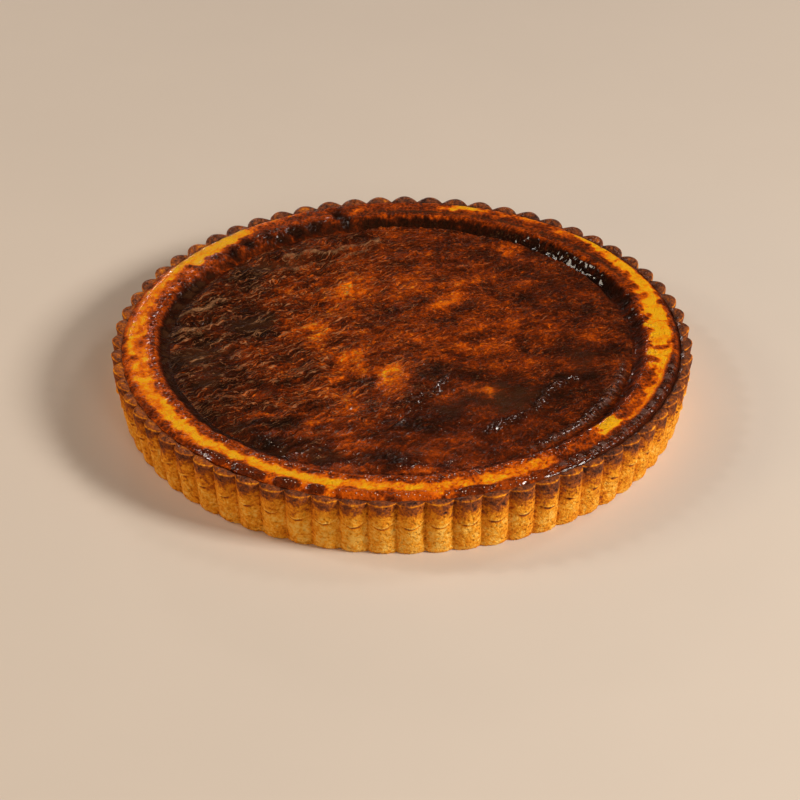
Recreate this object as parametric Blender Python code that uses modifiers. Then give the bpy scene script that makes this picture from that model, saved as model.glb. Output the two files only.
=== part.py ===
"""A round custard tart: a fluted shortcrust shell filled with burnt-top custard.

Metres, +Z up, with the origin at the middle of the flat underside. Azimuths are in
degrees, anticlockwise from +X as seen from above. The crust is a turned cup whose
outer side is drawn in between 65 flutes. The custard fills it and is turned from its
own profile, then given the hollows, ridges and folds of its burnt skin.
"""

from math import atan2, cos, degrees, exp, hypot, pi, radians, sin

import bmesh
import bpy

# Driving dimensions.
RIM_RADIUS = 0.125  # to the flutes' crests, a 250 mm tin
BASE_RADIUS = 0.1206
RIM_HEIGHT = 0.0265
FLUTES = 65  # evenly spaced as lined, then shifted a little round in baking
FLUTE_TURN = 0.31  # degrees that the first crest lies past +X
FLUTE_DRIFT = 1.32  # degrees of shift towards the back and front
FLUTE_DRIFT_AZIMUTH = -10.4
FIT_GAP = 0.0003  # between crust and custard

# Crust.
RIM_INNER_RADIUS = 0.1198
FLOOR_RADIUS = 0.1142
FLOOR_THICKNESS = 0.0040
BOTTOM_CHAMFER = 0.0010
NOTCH_DEPTH_AT_RIM = 0.0037
NOTCH_DEPTH_AT_BASE = 0.0013
FLUTE_ROUNDNESS = 0.80  # under 1 makes fuller crests and sharper notches
RIM_CORNER_DROP = 0.0006
RIM_INNER_DROP = 0.0005
RIM_DIP_AT_NOTCH = 0.0005
RIM_UNEVENNESS = 0.0003
WALL_UNEVENNESS = 0.0002
LEDGE_HEIGHT = 0.0148  # the crease that runs round the outer side
LEDGE_SPAN = 0.0012
LEDGE_DEPTH = 0.0005

# Custard: radii as fractions of RIM_RADIUS, heights from the rim.
EDGE_DROP = 0.0012
BAND_OUTER = 0.935
BAND_INNER = 0.850
BAND_RISE = 0.0008
CREASE = 0.795
CREASE_DEPTH = 0.0034
SKIN_EDGE = 0.765
SKIN_EDGE_DEPTH = 0.0025
SKIN_MIDDLE_DEPTH = 0.0034
TRENCH_DEPTH = 0.0015
SWELL = 0.00035
FOLD_RISE = 0.0013
SLIT_DEPTH = 0.0022

CRUST_STEPS = FLUTES * 6
CUSTARD_STEPS = 120


def clear_scene():
    """Remove every object that the file opened with."""
    for item in list(bpy.data.objects):
        bpy.data.objects.remove(item, do_unlink=True)


def make_collection(name):
    """Make a collection of this name in the scene."""
    collection = bpy.data.collections.new(name)
    bpy.context.scene.collection.children.link(collection)
    return collection


def make_material(name, colour, roughness):
    """Make a Principled material of one colour and roughness."""
    material = bpy.data.materials.new(name)
    material.use_nodes = True
    shader = material.node_tree.nodes["Principled BSDF"]
    shader.inputs["Base Color"].default_value = (*colour, 1.0)
    shader.inputs["Roughness"].default_value = roughness
    shader.inputs["Metallic"].default_value = 0.0
    return material


def blend(start, end, value):
    """Ease from 0 at start to 1 at end."""
    share = min(max((value - start) / (end - start), 0.0), 1.0)
    return share * share * (3.0 - 2.0 * share)


def mound(distance, width):
    """A soft bump, 1 at distance 0 and nearly 0 at twice the width."""
    return exp(-((distance / width) ** 2))


def turn_between(azimuth, start, end, softness):
    """1 between two azimuths (start to end, anticlockwise), easing to 0 outside them."""
    middle = (start + end) / 2.0
    half = (end - start) / 2.0
    away = abs((azimuth - middle + 180.0) % 360.0 - 180.0)
    return 1.0 - blend(half - softness / 2.0, half + softness / 2.0, away)


def crest_radius(height):
    """Radius of the flutes' crests, which lean out from base to rim."""
    return BASE_RADIUS + (RIM_RADIUS - BASE_RADIUS) * height / RIM_HEIGHT


def inner_radius(height):
    """Radius of the crust's inner side at a height."""
    share = (height - FLOOR_THICKNESS) / (RIM_HEIGHT - RIM_INNER_DROP - FLOOR_THICKNESS)
    return FLOOR_RADIUS + (RIM_INNER_RADIUS - FLOOR_RADIUS) * min(max(share, 0.0), 1.0)


def flute(azimuth):
    """1 on a flute's crest and 0 in a notch, rounded between, before the flutes drift."""
    return abs(cos(pi * azimuth * FLUTES / 360.0)) ** FLUTE_ROUNDNESS


def drifted(azimuth):
    """Where the baked crust's azimuth ends up once its flutes have shifted round."""
    return azimuth + FLUTE_TURN - FLUTE_DRIFT * cos(radians(azimuth - FLUTE_DRIFT_AZIMUTH))


def turn(name, profile, steps, collection):
    """Turn a profile round the Z axis with a Screw modifier and return the plain mesh object."""
    mesh = bpy.data.meshes.new(name + "_profile")
    edges = [(index, index + 1) for index in range(len(profile) - 1)]
    mesh.from_pydata([(radius, 0.0, height) for radius, height in profile], edges, [])
    guide = bpy.data.objects.new(name + "_profile", mesh)
    collection.objects.link(guide)
    screw = guide.modifiers.new("turn", "SCREW")
    screw.angle = 2.0 * pi
    screw.steps = steps
    screw.render_steps = steps
    screw.use_merge_vertices = True
    screw.merge_threshold = 0.00001
    graph = bpy.context.evaluated_depsgraph_get()
    turned = bpy.data.meshes.new_from_object(guide.evaluated_get(graph))
    turned.name = name
    bpy.data.objects.remove(guide, do_unlink=True)
    piece = bpy.data.objects.new(name, turned)
    collection.objects.link(piece)
    return piece


def reshape(piece, rule):
    """Move each vertex of a turned piece to the radius, height and azimuth that a rule gives."""
    shape = bmesh.new()
    shape.from_mesh(piece.data)
    bmesh.ops.remove_doubles(shape, verts=shape.verts, dist=0.00001)
    for vertex in shape.verts:
        x, y, z = vertex.co
        radius, height, azimuth = rule(hypot(x, y), z, degrees(atan2(y, x)))
        vertex.co = (radius * cos(radians(azimuth)), radius * sin(radians(azimuth)), height)
    shape.to_mesh(piece.data)
    shape.free()
    piece.data.shade_smooth()
    piece.data.set_sharp_from_angle(angle=radians(50.0))


def crust_profile():
    """The crust's section through a crest, from the floor's middle round to the underside's."""
    rim_width = RIM_RADIUS - RIM_INNER_RADIUS
    corner = RIM_HEIGHT - RIM_CORNER_DROP
    ledge_top = LEDGE_HEIGHT + LEDGE_SPAN / 2.0
    ledge_foot = LEDGE_HEIGHT - LEDGE_SPAN / 2.0
    return [
        (0.0, FLOOR_THICKNESS),
        (FLOOR_RADIUS, FLOOR_THICKNESS),
        (RIM_INNER_RADIUS, RIM_HEIGHT - RIM_INNER_DROP),
        (RIM_INNER_RADIUS + rim_width * 0.6, RIM_HEIGHT),
        (crest_radius(corner), corner),
        (crest_radius(ledge_top) + LEDGE_DEPTH / 2.0, ledge_top),
        (crest_radius(ledge_foot) - LEDGE_DEPTH / 2.0, ledge_foot),
        (crest_radius(BOTTOM_CHAMFER), BOTTOM_CHAMFER),
        (BASE_RADIUS - BOTTOM_CHAMFER, 0.0),
        (0.0, 0.0),
    ]


def crust_rule(radius, height, azimuth):
    """Draw the outer side in between the crests, and let the rim dip at each notch."""
    inner = inner_radius(height)
    if radius <= inner + FIT_GAP:
        return radius, height, drifted(azimuth)
    rise = height / RIM_HEIGHT
    depth = NOTCH_DEPTH_AT_BASE + (NOTCH_DEPTH_AT_RIM - NOTCH_DEPTH_AT_BASE) * rise
    uneven = WALL_UNEVENNESS * (sin(radians(6.0 * azimuth + 40.0)) - 1.0) / 2.0
    drawn_in = depth * (1.0 - flute(azimuth)) - uneven
    share = (radius - inner) / (crest_radius(height) - inner)
    dip = RIM_DIP_AT_NOTCH * (1.0 - flute(azimuth)) * share * blend(0.8, 0.95, rise)
    wave = RIM_UNEVENNESS * (sin(radians(10.0 * azimuth)) - 1.0) / 2.0 * blend(0.8, 0.95, rise)
    return radius - drawn_in * share, height - dip + wave, drifted(azimuth)


def skin_swell(x, y):
    """Slow waves of the burnt skin, whose long side runs to the right and slightly back."""
    across = y * cos(radians(14.0)) - x * sin(radians(14.0))
    along = x * cos(radians(14.0)) + y * sin(radians(14.0))
    waves = sin(across / 0.0062 + 1.7 * sin(along / 0.031))
    waves += 0.8 * sin(across / 0.0105 - along / 0.026 + 2.1)
    waves += 0.7 * sin(along / 0.0125 + 1.3 * sin(across / 0.018) + 0.6)
    return SWELL * waves


def custard_top(radius, azimuth):
    """Height of the custard's top: raised band at the crust, crease, then the sunken skin."""
    share = radius / RIM_RADIUS
    x = radius * cos(radians(azimuth))
    y = radius * sin(radians(azimuth))
    back = turn_between(azimuth, 24.0, 102.0, 10.0)
    left = turn_between(azimuth, 102.0, 190.0, 14.0)

    skin = SKIN_MIDDLE_DEPTH + (SKIN_EDGE_DEPTH - SKIN_MIDDLE_DEPTH) * blend(0.2, SKIN_EDGE, share)
    crease_depth = CREASE_DEPTH + TRENCH_DEPTH * back - 0.0008 * left
    height = -skin - (crease_depth - skin) * blend(SKIN_EDGE, CREASE, share)
    height += (BAND_RISE + crease_depth) * blend(CREASE, BAND_INNER, share)
    height -= (BAND_RISE + EDGE_DROP) * blend(BAND_OUTER, 0.957, share)

    on_skin = 1.0 - blend(SKIN_EDGE - 0.03, CREASE, share)
    height += skin_swell(x, y) * on_skin
    on_band = blend(CREASE, BAND_INNER, share) * (1.0 - blend(BAND_OUTER, 0.957, share))
    height += 0.00030 * sin(radians(13.0 * azimuth) + 9.0 * share) * on_band
    height -= 0.00025 * on_band * turn_between(azimuth, 20.0, 130.0, 30.0)

    lip = turn_between(azimuth, 30.0, 101.0, 8.0) * mound(share - 0.745, 0.016)
    ridge = turn_between(azimuth, -52.0, -16.0, 12.0) * mound(share - 0.775, 0.018)
    lobes = turn_between(azimuth, 226.0, 256.0, 3.0) * mound(share - 0.925, 0.018)
    seam = turn_between(azimuth, -58.0, -8.0, 12.0) * mound(share - 0.932, 0.016)
    height += 0.0009 * lip + 0.0008 * ridge + 0.0003 * lobes + 0.0002 * seam

    fold = mound(hypot((x + 0.030) / 3.2, y - 0.066 - 0.12 * (x + 0.030)), 0.0042)
    height += FOLD_RISE * fold
    slit = mound(hypot((x + 0.091) / 3.0, y - 0.016), 0.0032)
    height -= SLIT_DEPTH * slit
    return RIM_HEIGHT + height


def custard_profile():
    """The custard's section: rings out over its top, then down its side and under it."""
    rings = [0.0, 0.09, 0.17, 0.25, 0.32, 0.39, 0.45, 0.51, 0.565, 0.615, 0.66, 0.70, 0.73, 0.755]
    rings += [0.775, 0.795, 0.815, 0.835, 0.86, 0.89, 0.92, 0.94]
    profile = [(RIM_RADIUS * ring, RIM_HEIGHT) for ring in rings]
    bottom = FLOOR_THICKNESS + FIT_GAP
    edge = RIM_HEIGHT - EDGE_DROP
    profile.append((inner_radius(edge) - FIT_GAP, edge))
    profile.append((inner_radius(bottom) - FIT_GAP, bottom))
    profile.append((0.0, bottom))
    return profile


def custard_rule(radius, height, azimuth):
    """Raise or sink the top, and leave the side and the underside as turned."""
    if height < RIM_HEIGHT - EDGE_DROP / 2.0:
        return radius, height, azimuth
    return radius, custard_top(radius, azimuth), azimuth


def build_crust(collection):
    """The shortcrust shell: floor, leaning wall with flutes, and domed rim."""
    crust = turn("crust", crust_profile(), CRUST_STEPS, collection)
    reshape(crust, crust_rule)
    crust.data.materials.append(make_material("baked_shortcrust", (0.47, 0.19, 0.035), 0.62))
    return crust


def build_custard(collection):
    """The custard filling with its burnt, wrinkled top."""
    custard = turn("custard", custard_profile(), CUSTARD_STEPS, collection)
    reshape(custard, custard_rule)
    custard.data.materials.append(make_material("burnt_custard", (0.12, 0.028, 0.006), 0.32))
    return custard


def main():
    """Build the tart."""
    clear_scene()
    tart = make_collection("custard_tart")
    build_crust(tart)
    build_custard(tart)


main()
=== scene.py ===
"""The looks of the custard tart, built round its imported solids.

A fluted shortcrust shell, the custard with its raised amber ring, and the burnt skin that
has sunk inside the ring. Lengths are in metres unless a name ends in _mm; plan positions
on the custard are fractions of the rim's radius; azimuths are in degrees, anticlockwise
from +X as seen from above.
"""

import logging
import math
from dataclasses import dataclass, field
from enum import Enum
from typing import Callable

import bmesh
import bpy
import numpy as np
from mathutils import Matrix, Vector


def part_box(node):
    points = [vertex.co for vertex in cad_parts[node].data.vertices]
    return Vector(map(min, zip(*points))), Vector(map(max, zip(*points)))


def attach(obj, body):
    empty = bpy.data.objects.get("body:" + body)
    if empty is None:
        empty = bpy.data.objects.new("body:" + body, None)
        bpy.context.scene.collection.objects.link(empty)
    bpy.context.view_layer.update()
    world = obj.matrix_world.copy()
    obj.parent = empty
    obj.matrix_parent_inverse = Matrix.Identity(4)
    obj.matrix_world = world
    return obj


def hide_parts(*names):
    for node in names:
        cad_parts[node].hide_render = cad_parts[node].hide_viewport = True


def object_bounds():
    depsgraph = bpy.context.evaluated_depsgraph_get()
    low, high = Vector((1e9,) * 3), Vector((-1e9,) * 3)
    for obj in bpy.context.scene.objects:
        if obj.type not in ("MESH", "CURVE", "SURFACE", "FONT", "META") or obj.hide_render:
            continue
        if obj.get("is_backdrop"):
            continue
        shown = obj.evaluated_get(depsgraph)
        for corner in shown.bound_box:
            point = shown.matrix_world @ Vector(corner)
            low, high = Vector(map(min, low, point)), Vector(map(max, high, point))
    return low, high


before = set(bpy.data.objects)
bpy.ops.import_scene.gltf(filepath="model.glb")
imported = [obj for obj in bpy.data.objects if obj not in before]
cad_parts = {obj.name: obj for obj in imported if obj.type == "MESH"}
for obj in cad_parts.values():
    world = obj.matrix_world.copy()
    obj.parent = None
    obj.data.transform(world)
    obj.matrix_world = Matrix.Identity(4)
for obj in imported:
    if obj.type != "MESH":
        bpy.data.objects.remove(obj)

LOG = logging.getLogger("custard_tart")
MM = 0.001
RIM_RADIUS = 0.125
RIM_MM = RIM_RADIUS / MM
HAIR = 1e-5
NEAR = 1e-4

Point = tuple[float, float]
Colour = tuple[float, float, float]
Socket = bpy.types.NodeSocket


# Shaping helpers


def ease(start: float, end: float, value: np.ndarray) -> np.ndarray:
    """Ease from 0 at start to 1 at end.

    Args:
        start: Where the result leaves 0.
        end: Where the result reaches 1; it may be below start.
        value: Where to measure.

    Returns:
        The eased share at each value.
    """
    share = np.clip((value - start) / (end - start), 0.0, 1.0)
    return share * share * (3.0 - 2.0 * share)


def mound(distance: np.ndarray, width: float) -> np.ndarray:
    """A soft bump: 1 at no distance, nearly 0 at twice the width."""
    return np.exp(-((distance / width) ** 2))


def toward(value: np.ndarray, goal: np.ndarray | float, share: np.ndarray) -> np.ndarray:
    """Move a value towards a goal by a share from 0 to 1."""
    return value + (goal - value) * np.clip(share, 0.0, 1.0)


def sector(azimuth: np.ndarray, start: float, end: float, soft: float = 4.0) -> np.ndarray:
    """1 between two azimuths, easing to 0 outside them.

    Args:
        azimuth: Azimuths to measure, in degrees.
        start: Where the sector starts.
        end: Where it ends, going anticlockwise; it may pass 360.
        soft: How many degrees the easing takes at each end.

    Returns:
        The sector's weight at each azimuth.
    """
    middle = (start + end) / 2.0
    half = (end - start) / 2.0
    away = np.abs((azimuth - middle + 180.0) % 360.0 - 180.0)
    return 1.0 - ease(half - soft / 2.0, half + soft / 2.0, away)


class Grain:
    """Smooth noise that is the same each run, from seeded directions on a square lattice."""

    def __init__(self, seed: int, cells: int = 256) -> None:
        """Draw the lattice.

        Args:
            seed: Chooses the pattern.
            cells: Lattice cells before the pattern repeats.
        """
        turns = np.random.default_rng(seed).random((cells, cells)) * 2.0 * np.pi
        self.cells = cells
        self.slopes = np.stack((np.cos(turns), np.sin(turns)))

    def plain(self, u: np.ndarray, v: np.ndarray, wrap: int = 0) -> np.ndarray:
        """One layer of noise.

        Args:
            u: First coordinate, in cells.
            v: Second coordinate.
            wrap: Cells along u after which the pattern meets itself, or 0.

        Returns:
            Values from about -1 to 1.
        """
        column, row = np.floor(u).astype(int), np.floor(v).astype(int)
        u, v = u - column, v - row
        across = u * u * u * (u * (u * 6.0 - 15.0) + 10.0)
        up = v * v * v * (v * (v * 6.0 - 15.0) + 10.0)
        total = np.zeros_like(u)
        for right in (0, 1):
            for above in (0, 1):
                place = column + right
                place = place % wrap if wrap else place
                east, north = self.slopes[:, place % self.cells, (row + above) % self.cells]
                weight = (across if right else 1.0 - across) * (up if above else 1.0 - up)
                total += weight * (east * (u - right) + north * (v - above))
        return total * 1.5

    def layered(
        self, u: np.ndarray, v: np.ndarray, layers: int = 4, gain: float = 0.5, wrap: int = 0, folded: bool = False
    ) -> np.ndarray:
        """Several layers of noise, each twice as fine as the last.

        Args:
            u: First coordinate, in cells of the coarsest layer.
            v: Second coordinate.
            layers: How many layers.
            gain: Each layer's strength as a share of the last.
            wrap: Coarsest cells along u after which the pattern meets itself, or 0.
            folded: Whether to fold each layer into sharp crests.

        Returns:
            The sum: from about -1 to 1, or from 0 in the hollows to 1 on the crests if folded.
        """
        total = np.zeros_like(u)
        strength, weight = 1.0, 0.0
        for layer in range(layers):
            fine = 2**layer
            value = self.plain(u * fine + 17.3 * layer, v * fine - 9.1 * layer, wrap * fine)
            total += strength * (np.clip(1.0 - 1.6 * np.abs(value), 0.0, 1.0) ** 2 if folded else value)
            weight += strength
            strength *= gain
        return total / weight * (1.0 if folded else 1.4)

    def creased(self, u: np.ndarray, v: np.ndarray, layers: int = 3, gain: float = 0.55) -> np.ndarray:
        """Layered noise folded into sharp crests, from 0 to 1."""
        return self.layered(u, v, layers, gain, folded=True)

    def around(
        self,
        azimuth: np.ndarray,
        out_mm: np.ndarray | float,
        size_mm: float,
        stretch: float = 1.0,
        layers: int = 3,
        folded: bool = False,
    ) -> np.ndarray:
        """Layered noise laid round the tart, which meets itself after a full turn.

        Args:
            azimuth: Azimuths in degrees.
            out_mm: Distances outwards, or heights.
            size_mm: Size of the coarsest cells along the turn.
            stretch: Their size outwards as a multiple of that.
            layers: How many layers.
            folded: Whether to fold the noise into sharp crests.

        Returns:
            The noise at each place.
        """
        wrap = round(2.0 * math.pi * RIM_MM / size_mm)
        rows = np.zeros_like(azimuth) + out_mm / (size_mm * stretch)
        return self.layered(azimuth / 360.0 * wrap, rows, layers, 0.5, wrap, folded)


@dataclass(frozen=True)
class Line:
    """A ridge or furrow drawn through a few points on the custard."""

    points: tuple[Point, ...]
    rise_mm: float
    width_mm: float
    gloss: float = 0.0
    # How pale the crest is drawn: pale colour with a painted highlight along it.
    pale: float = 0.0

    def distance_mm(self, x: np.ndarray, y: np.ndarray) -> np.ndarray:
        """Distance from each place to the line.

        Args:
            x: Plan positions, as fractions of the rim's radius.
            y: The same, towards the back.

        Returns:
            Distances in millimetres.
        """
        nearest = np.full_like(x, 9.0)
        for (x0, y0), (x1, y1) in zip(self.points, self.points[1:]):
            east, north = x1 - x0, y1 - y0
            share = ((x - x0) * east + (y - y0) * north) / (east**2 + north**2)
            share = np.clip(share, 0.0, 1.0)
            nearest = np.minimum(nearest, np.hypot(x - x0 - share * east, y - y0 - share * north))
        return nearest * RIM_MM


@dataclass(frozen=True)
class Spot:
    """A soft oval patch on the custard."""

    x: float
    y: float
    long_mm: float
    short_mm: float
    turn: float
    amount: float

    def weight(self, x: np.ndarray, y: np.ndarray) -> np.ndarray:
        """How much the patch counts at each place.

        Args:
            x: Plan positions, as fractions of the rim's radius.
            y: The same, towards the back.

        Returns:
            The weight at each place.
        """
        east, north = (x - self.x) * RIM_MM, (y - self.y) * RIM_MM
        tilt = math.radians(self.turn)
        along = east * math.cos(tilt) + north * math.sin(tilt)
        across = north * math.cos(tilt) - east * math.sin(tilt)
        return self.amount * np.exp(-((along / self.long_mm) ** 2) - (across / self.short_mm) ** 2)


@dataclass(frozen=True)
class Stroke:
    """A stretch of the ring where the custard has stayed amber."""

    start: float
    end: float
    inner: float
    outer: float
    amount: float
    inner_end: float | None = None
    outer_end: float | None = None

    def weight(self, share: np.ndarray, azimuth: np.ndarray, fray: np.ndarray, soft: np.ndarray) -> np.ndarray:
        """How amber each place is, 1 in the stretch's middle.

        Args:
            share: Distance from the tart's middle, as a fraction of the rim's radius.
            azimuth: Azimuths, in degrees.
            fray: Noise that frays the stretch's edges, from about -1 to 1.
            soft: Half the width over which they fade.

        Returns:
            The weight at each place.
        """
        inner_end = self.inner if self.inner_end is None else self.inner_end
        outer_end = self.outer if self.outer_end is None else self.outer_end
        along = np.clip(((azimuth - self.start + 9.0) % 360.0 - 9.0) / (self.end - self.start), 0.0, 1.0)
        inner = self.inner + (inner_end - self.inner) * along + 0.018 * fray
        outer = self.outer + (outer_end - self.outer) * along + 0.011 * fray
        band = ease(inner - soft, inner + soft, share) * (1.0 - ease(outer - soft, outer + soft, share))
        return self.amount * band * sector(azimuth + 2.5 * fray, self.start, self.end, 3.5)


# Modelling bench


class Bench:
    """The few modelling moves that every piece starts from."""

    @staticmethod
    def clear() -> None:
        """Leave edit mode and deselect everything."""
        if bpy.context.object is not None and bpy.context.object.mode != "OBJECT":
            bpy.ops.object.mode_set(mode="OBJECT")
        bpy.ops.object.select_all(action="DESELECT")

    @staticmethod
    def pick_edges(piece: bpy.types.Object, test: Callable[[Vector, Vector], bool]) -> None:
        """Select, in edit mode, the edges whose two ends pass a test.

        Args:
            piece: The piece being edited.
            test: Takes both ends' positions and says whether to select.
        """
        bpy.ops.mesh.select_all(action="DESELECT")
        bpy.ops.mesh.select_mode(type="EDGE")
        shape = bmesh.from_edit_mesh(piece.data)
        for edge in shape.edges:
            edge.select_set(bool(test(edge.verts[0].co, edge.verts[1].co)))
        bmesh.update_edit_mesh(piece.data)

    @staticmethod
    def places(piece: bpy.types.Object) -> np.ndarray:
        """Every vertex's position, as rows of x, y, z."""
        rows = np.empty(len(piece.data.vertices) * 3)
        piece.data.vertices.foreach_get("co", rows)
        return rows.reshape(-1, 3)

    @staticmethod
    def place(piece: bpy.types.Object, rows: np.ndarray) -> None:
        """Move every vertex to its row."""
        piece.data.vertices.foreach_set("co", rows.ravel())
        piece.data.update()

    @staticmethod
    def mark(piece: bpy.types.Object, name: str, values: np.ndarray) -> None:
        """Store a number or a vector per vertex under a name that a material can read.

        Args:
            piece: The piece.
            name: The attribute's name.
            values: One number, or one row of three, for each vertex.
        """
        vector = values.ndim == 2
        layer = piece.data.attributes.new(name=name, type="FLOAT_VECTOR" if vector else "FLOAT", domain="POINT")
        layer.data.foreach_set("vector" if vector else "value", np.ascontiguousarray(values, dtype=np.float32).ravel())

    @staticmethod
    def close(piece: bpy.types.Object, sharp: float) -> None:
        """Point the faces outwards and shade the piece, with edges over this angle sharp.

        Args:
            piece: The finished piece.
            sharp: Angle in degrees past which an edge stays sharp.
        """
        Bench.clear()
        piece.select_set(True)
        bpy.context.view_layer.objects.active = piece
        bpy.ops.object.mode_set(mode="EDIT")
        bpy.ops.mesh.select_all(action="SELECT")
        bpy.ops.mesh.normals_make_consistent(inside=False)
        bpy.ops.object.mode_set(mode="OBJECT")
        bpy.ops.object.shade_smooth_by_angle(angle=math.radians(sharp))
        Bench.clear()


# Materials


class Board:
    """A node tree, with short ways to add the nodes that the finishes use."""

    def __init__(self, tree: bpy.types.NodeTree) -> None:
        """Start on an existing tree."""
        self.tree = tree

    def add(self, kind: str, **settings) -> bpy.types.Node:
        """Add a node and set its properties.

        Args:
            kind: The node's type.
            **settings: Properties to set on it.

        Returns:
            The new node.
        """
        node = self.tree.nodes.new(kind)
        for name, value in settings.items():
            setattr(node, name, value)
        return node

    def feed(self, socket: Socket, value: Socket | float | Colour) -> None:
        """Link a socket into this one, or set this one's own value.

        Args:
            socket: The socket to feed.
            value: Another socket, or the value to set.
        """
        if isinstance(value, Socket):
            self.tree.links.new(value, socket)
        else:
            socket.default_value = value

    def sum(self, operation: str, first: Socket | float, second: Socket | float = 0.0, clamp: bool = False) -> Socket:
        """One Math node.

        Args:
            operation: The node's operation.
            first: First socket or number.
            second: Second socket or number.
            clamp: Whether to keep the result between 0 and 1.

        Returns:
            The node's output.
        """
        node = self.add("ShaderNodeMath", operation=operation, use_clamp=clamp)
        for socket, value in zip(node.inputs, (first, second)):
            self.feed(socket, value)
        return node.outputs[0]

    def shift(self, level: Socket, noise: Socket, amount: Socket | float) -> Socket:
        """Add a noise about its middle, 0.5, to a level, scaled by an amount."""
        return self.sum("ADD", level, self.sum("MULTIPLY", self.sum("SUBTRACT", noise, 0.5), amount))

    def between(
        self, value: Socket, low: float, high: float, to_low: float = 0.0, to_high: float = 1.0
    ) -> Socket:
        """Map a value from one range to another, eased and clamped.

        Args:
            value: The value to map.
            low: Where the first range starts.
            high: Where it ends.
            to_low: What low becomes.
            to_high: What high becomes.

        Returns:
            The mapped value.
        """
        node = self.add("ShaderNodeMapRange", interpolation_type="SMOOTHSTEP", clamp=True)
        for name, number in (("From Min", low), ("From Max", high), ("To Min", to_low), ("To Max", to_high)):
            node.inputs[name].default_value = number
        self.feed(node.inputs["Value"], value)
        return node.outputs[0]

    def mixed(self, share: Socket | float, first: Socket | Colour, second: Socket | Colour) -> Socket:
        """Mix two colours.

        Args:
            share: The second colour's share.
            first: First colour.
            second: Second colour.

        Returns:
            The mixed colour.
        """
        node = self.add("ShaderNodeMix", data_type="RGBA")
        colours = [socket for socket in node.inputs if socket.type == "RGBA"]
        self.feed(node.inputs[0], share)
        for socket, value in zip(colours, (first, second)):
            self.feed(socket, value if isinstance(value, Socket) else (*value, 1.0))
        return next(socket for socket in node.outputs if socket.type == "RGBA")

    def ramp(self, value: Socket, stops: tuple[tuple[float, Colour], ...]) -> Socket:
        """A colour ramp.

        Args:
            value: Where to read the ramp, from 0 to 1.
            stops: Positions and their colours.

        Returns:
            The ramp's colour.
        """
        node = self.add("ShaderNodeValToRGB")
        elements = node.color_ramp.elements
        while len(elements) < len(stops):
            elements.new(1.0)
        for element, (position, colour) in zip(elements, stops):
            element.position = position
            element.color = (*colour, 1.0)
        self.feed(node.inputs["Fac"], value)
        return node.outputs["Color"]

    def noise(self, vector: Socket, scale: Socket | float, detail: float = 3.0, bend: float = 0.0) -> Socket:
        """A noise texture.

        Args:
            vector: Where to read it.
            scale: Cells for each unit of the vector.
            detail: Finer layers.
            bend: How far it is warped.

        Returns:
            Its value, about 0.5 in the middle.
        """
        node = self.add("ShaderNodeTexNoise")
        self.feed(node.inputs["Vector"], vector)
        self.feed(node.inputs["Scale"], scale)
        node.inputs["Detail"].default_value = detail
        node.inputs["Roughness"].default_value = 0.6
        node.inputs["Distortion"].default_value = bend
        return node.outputs[0]

    def domes(self, vector: Socket, scale: Socket | float, kept: float) -> Socket:
        """Small round spots.

        Args:
            vector: Where to read them.
            scale: Cells for each unit of the vector.
            kept: Share of the cells that have a spot.

        Returns:
            A mask, 1 in the middle of each spot.
        """
        cells = self.add("ShaderNodeTexVoronoi", feature="F1")
        self.feed(cells.inputs["Vector"], vector)
        self.feed(cells.inputs["Scale"], scale)
        colour = self.add("ShaderNodeSeparateColor")
        self.feed(colour.inputs[0], cells.outputs["Color"])
        chosen = self.sum("LESS_THAN", colour.outputs[0], kept)
        return self.sum("MULTIPLY", self.between(cells.outputs["Distance"], 0.06, 0.44, 1.0, 0.0), chosen)

    def attribute(self, name: str, output: str = "Fac") -> Socket:
        """A number or a vector stored on the piece's vertices."""
        return self.add("ShaderNodeAttribute", attribute_name=name).outputs[output]


def make_grain_group() -> bpy.types.NodeTree:
    """The fine surface that pastry and burnt skin share.

    Returns:
        A shader node group with inputs Vector, Grain Scale and Spot Scale, and outputs Grain
        and Mottle, two noises about 0.5, and Spots, a mask of small round spots.
    """
    group = bpy.data.node_groups.new("baked_grain", "ShaderNodeTree")
    face = group.interface
    face.new_socket(name="Vector", in_out="INPUT", socket_type="NodeSocketVector")
    face.new_socket(name="Grain Scale", in_out="INPUT", socket_type="NodeSocketFloat")
    face.new_socket(name="Spot Scale", in_out="INPUT", socket_type="NodeSocketFloat")
    board = Board(group)
    entry = board.add("NodeGroupInput").outputs
    leave = board.add("NodeGroupOutput")
    slow = board.sum("MULTIPLY", entry["Grain Scale"], 0.30)
    for name, value in (
        ("Grain", board.noise(entry["Vector"], entry["Grain Scale"], 4.0)),
        ("Mottle", board.noise(entry["Vector"], slow, 4.0, 0.6)),
        ("Spots", board.domes(entry["Vector"], entry["Spot Scale"], 0.70)),
    ):
        face.new_socket(name=name, in_out="OUTPUT", socket_type="NodeSocketFloat")
        board.feed(leave.inputs[name], value)
    return group


def place_grain(board: Board, group: bpy.types.NodeTree, grain_scale: float, spot_scale: float) -> bpy.types.Node:
    """Place the shared surface in a material, on Object coordinates.

    Args:
        board: The material's board.
        group: The shared surface.
        grain_scale: Grain cells per metre.
        spot_scale: Spot cells per metre.

    Returns:
        The placed group node.
    """
    node = board.add("ShaderNodeGroup", node_tree=group)
    board.feed(node.inputs["Vector"], board.add("ShaderNodeTexCoord").outputs["Object"])
    node.inputs["Grain Scale"].default_value = grain_scale
    node.inputs["Spot Scale"].default_value = spot_scale
    return node


def start_material(name: str) -> tuple[bpy.types.Material, Board, bpy.types.Node]:
    """A new material, its board and its Principled BSDF."""
    material = bpy.data.materials.new(name)
    material.use_nodes = True
    return material, Board(material.node_tree), material.node_tree.nodes["Principled BSDF"]


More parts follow.
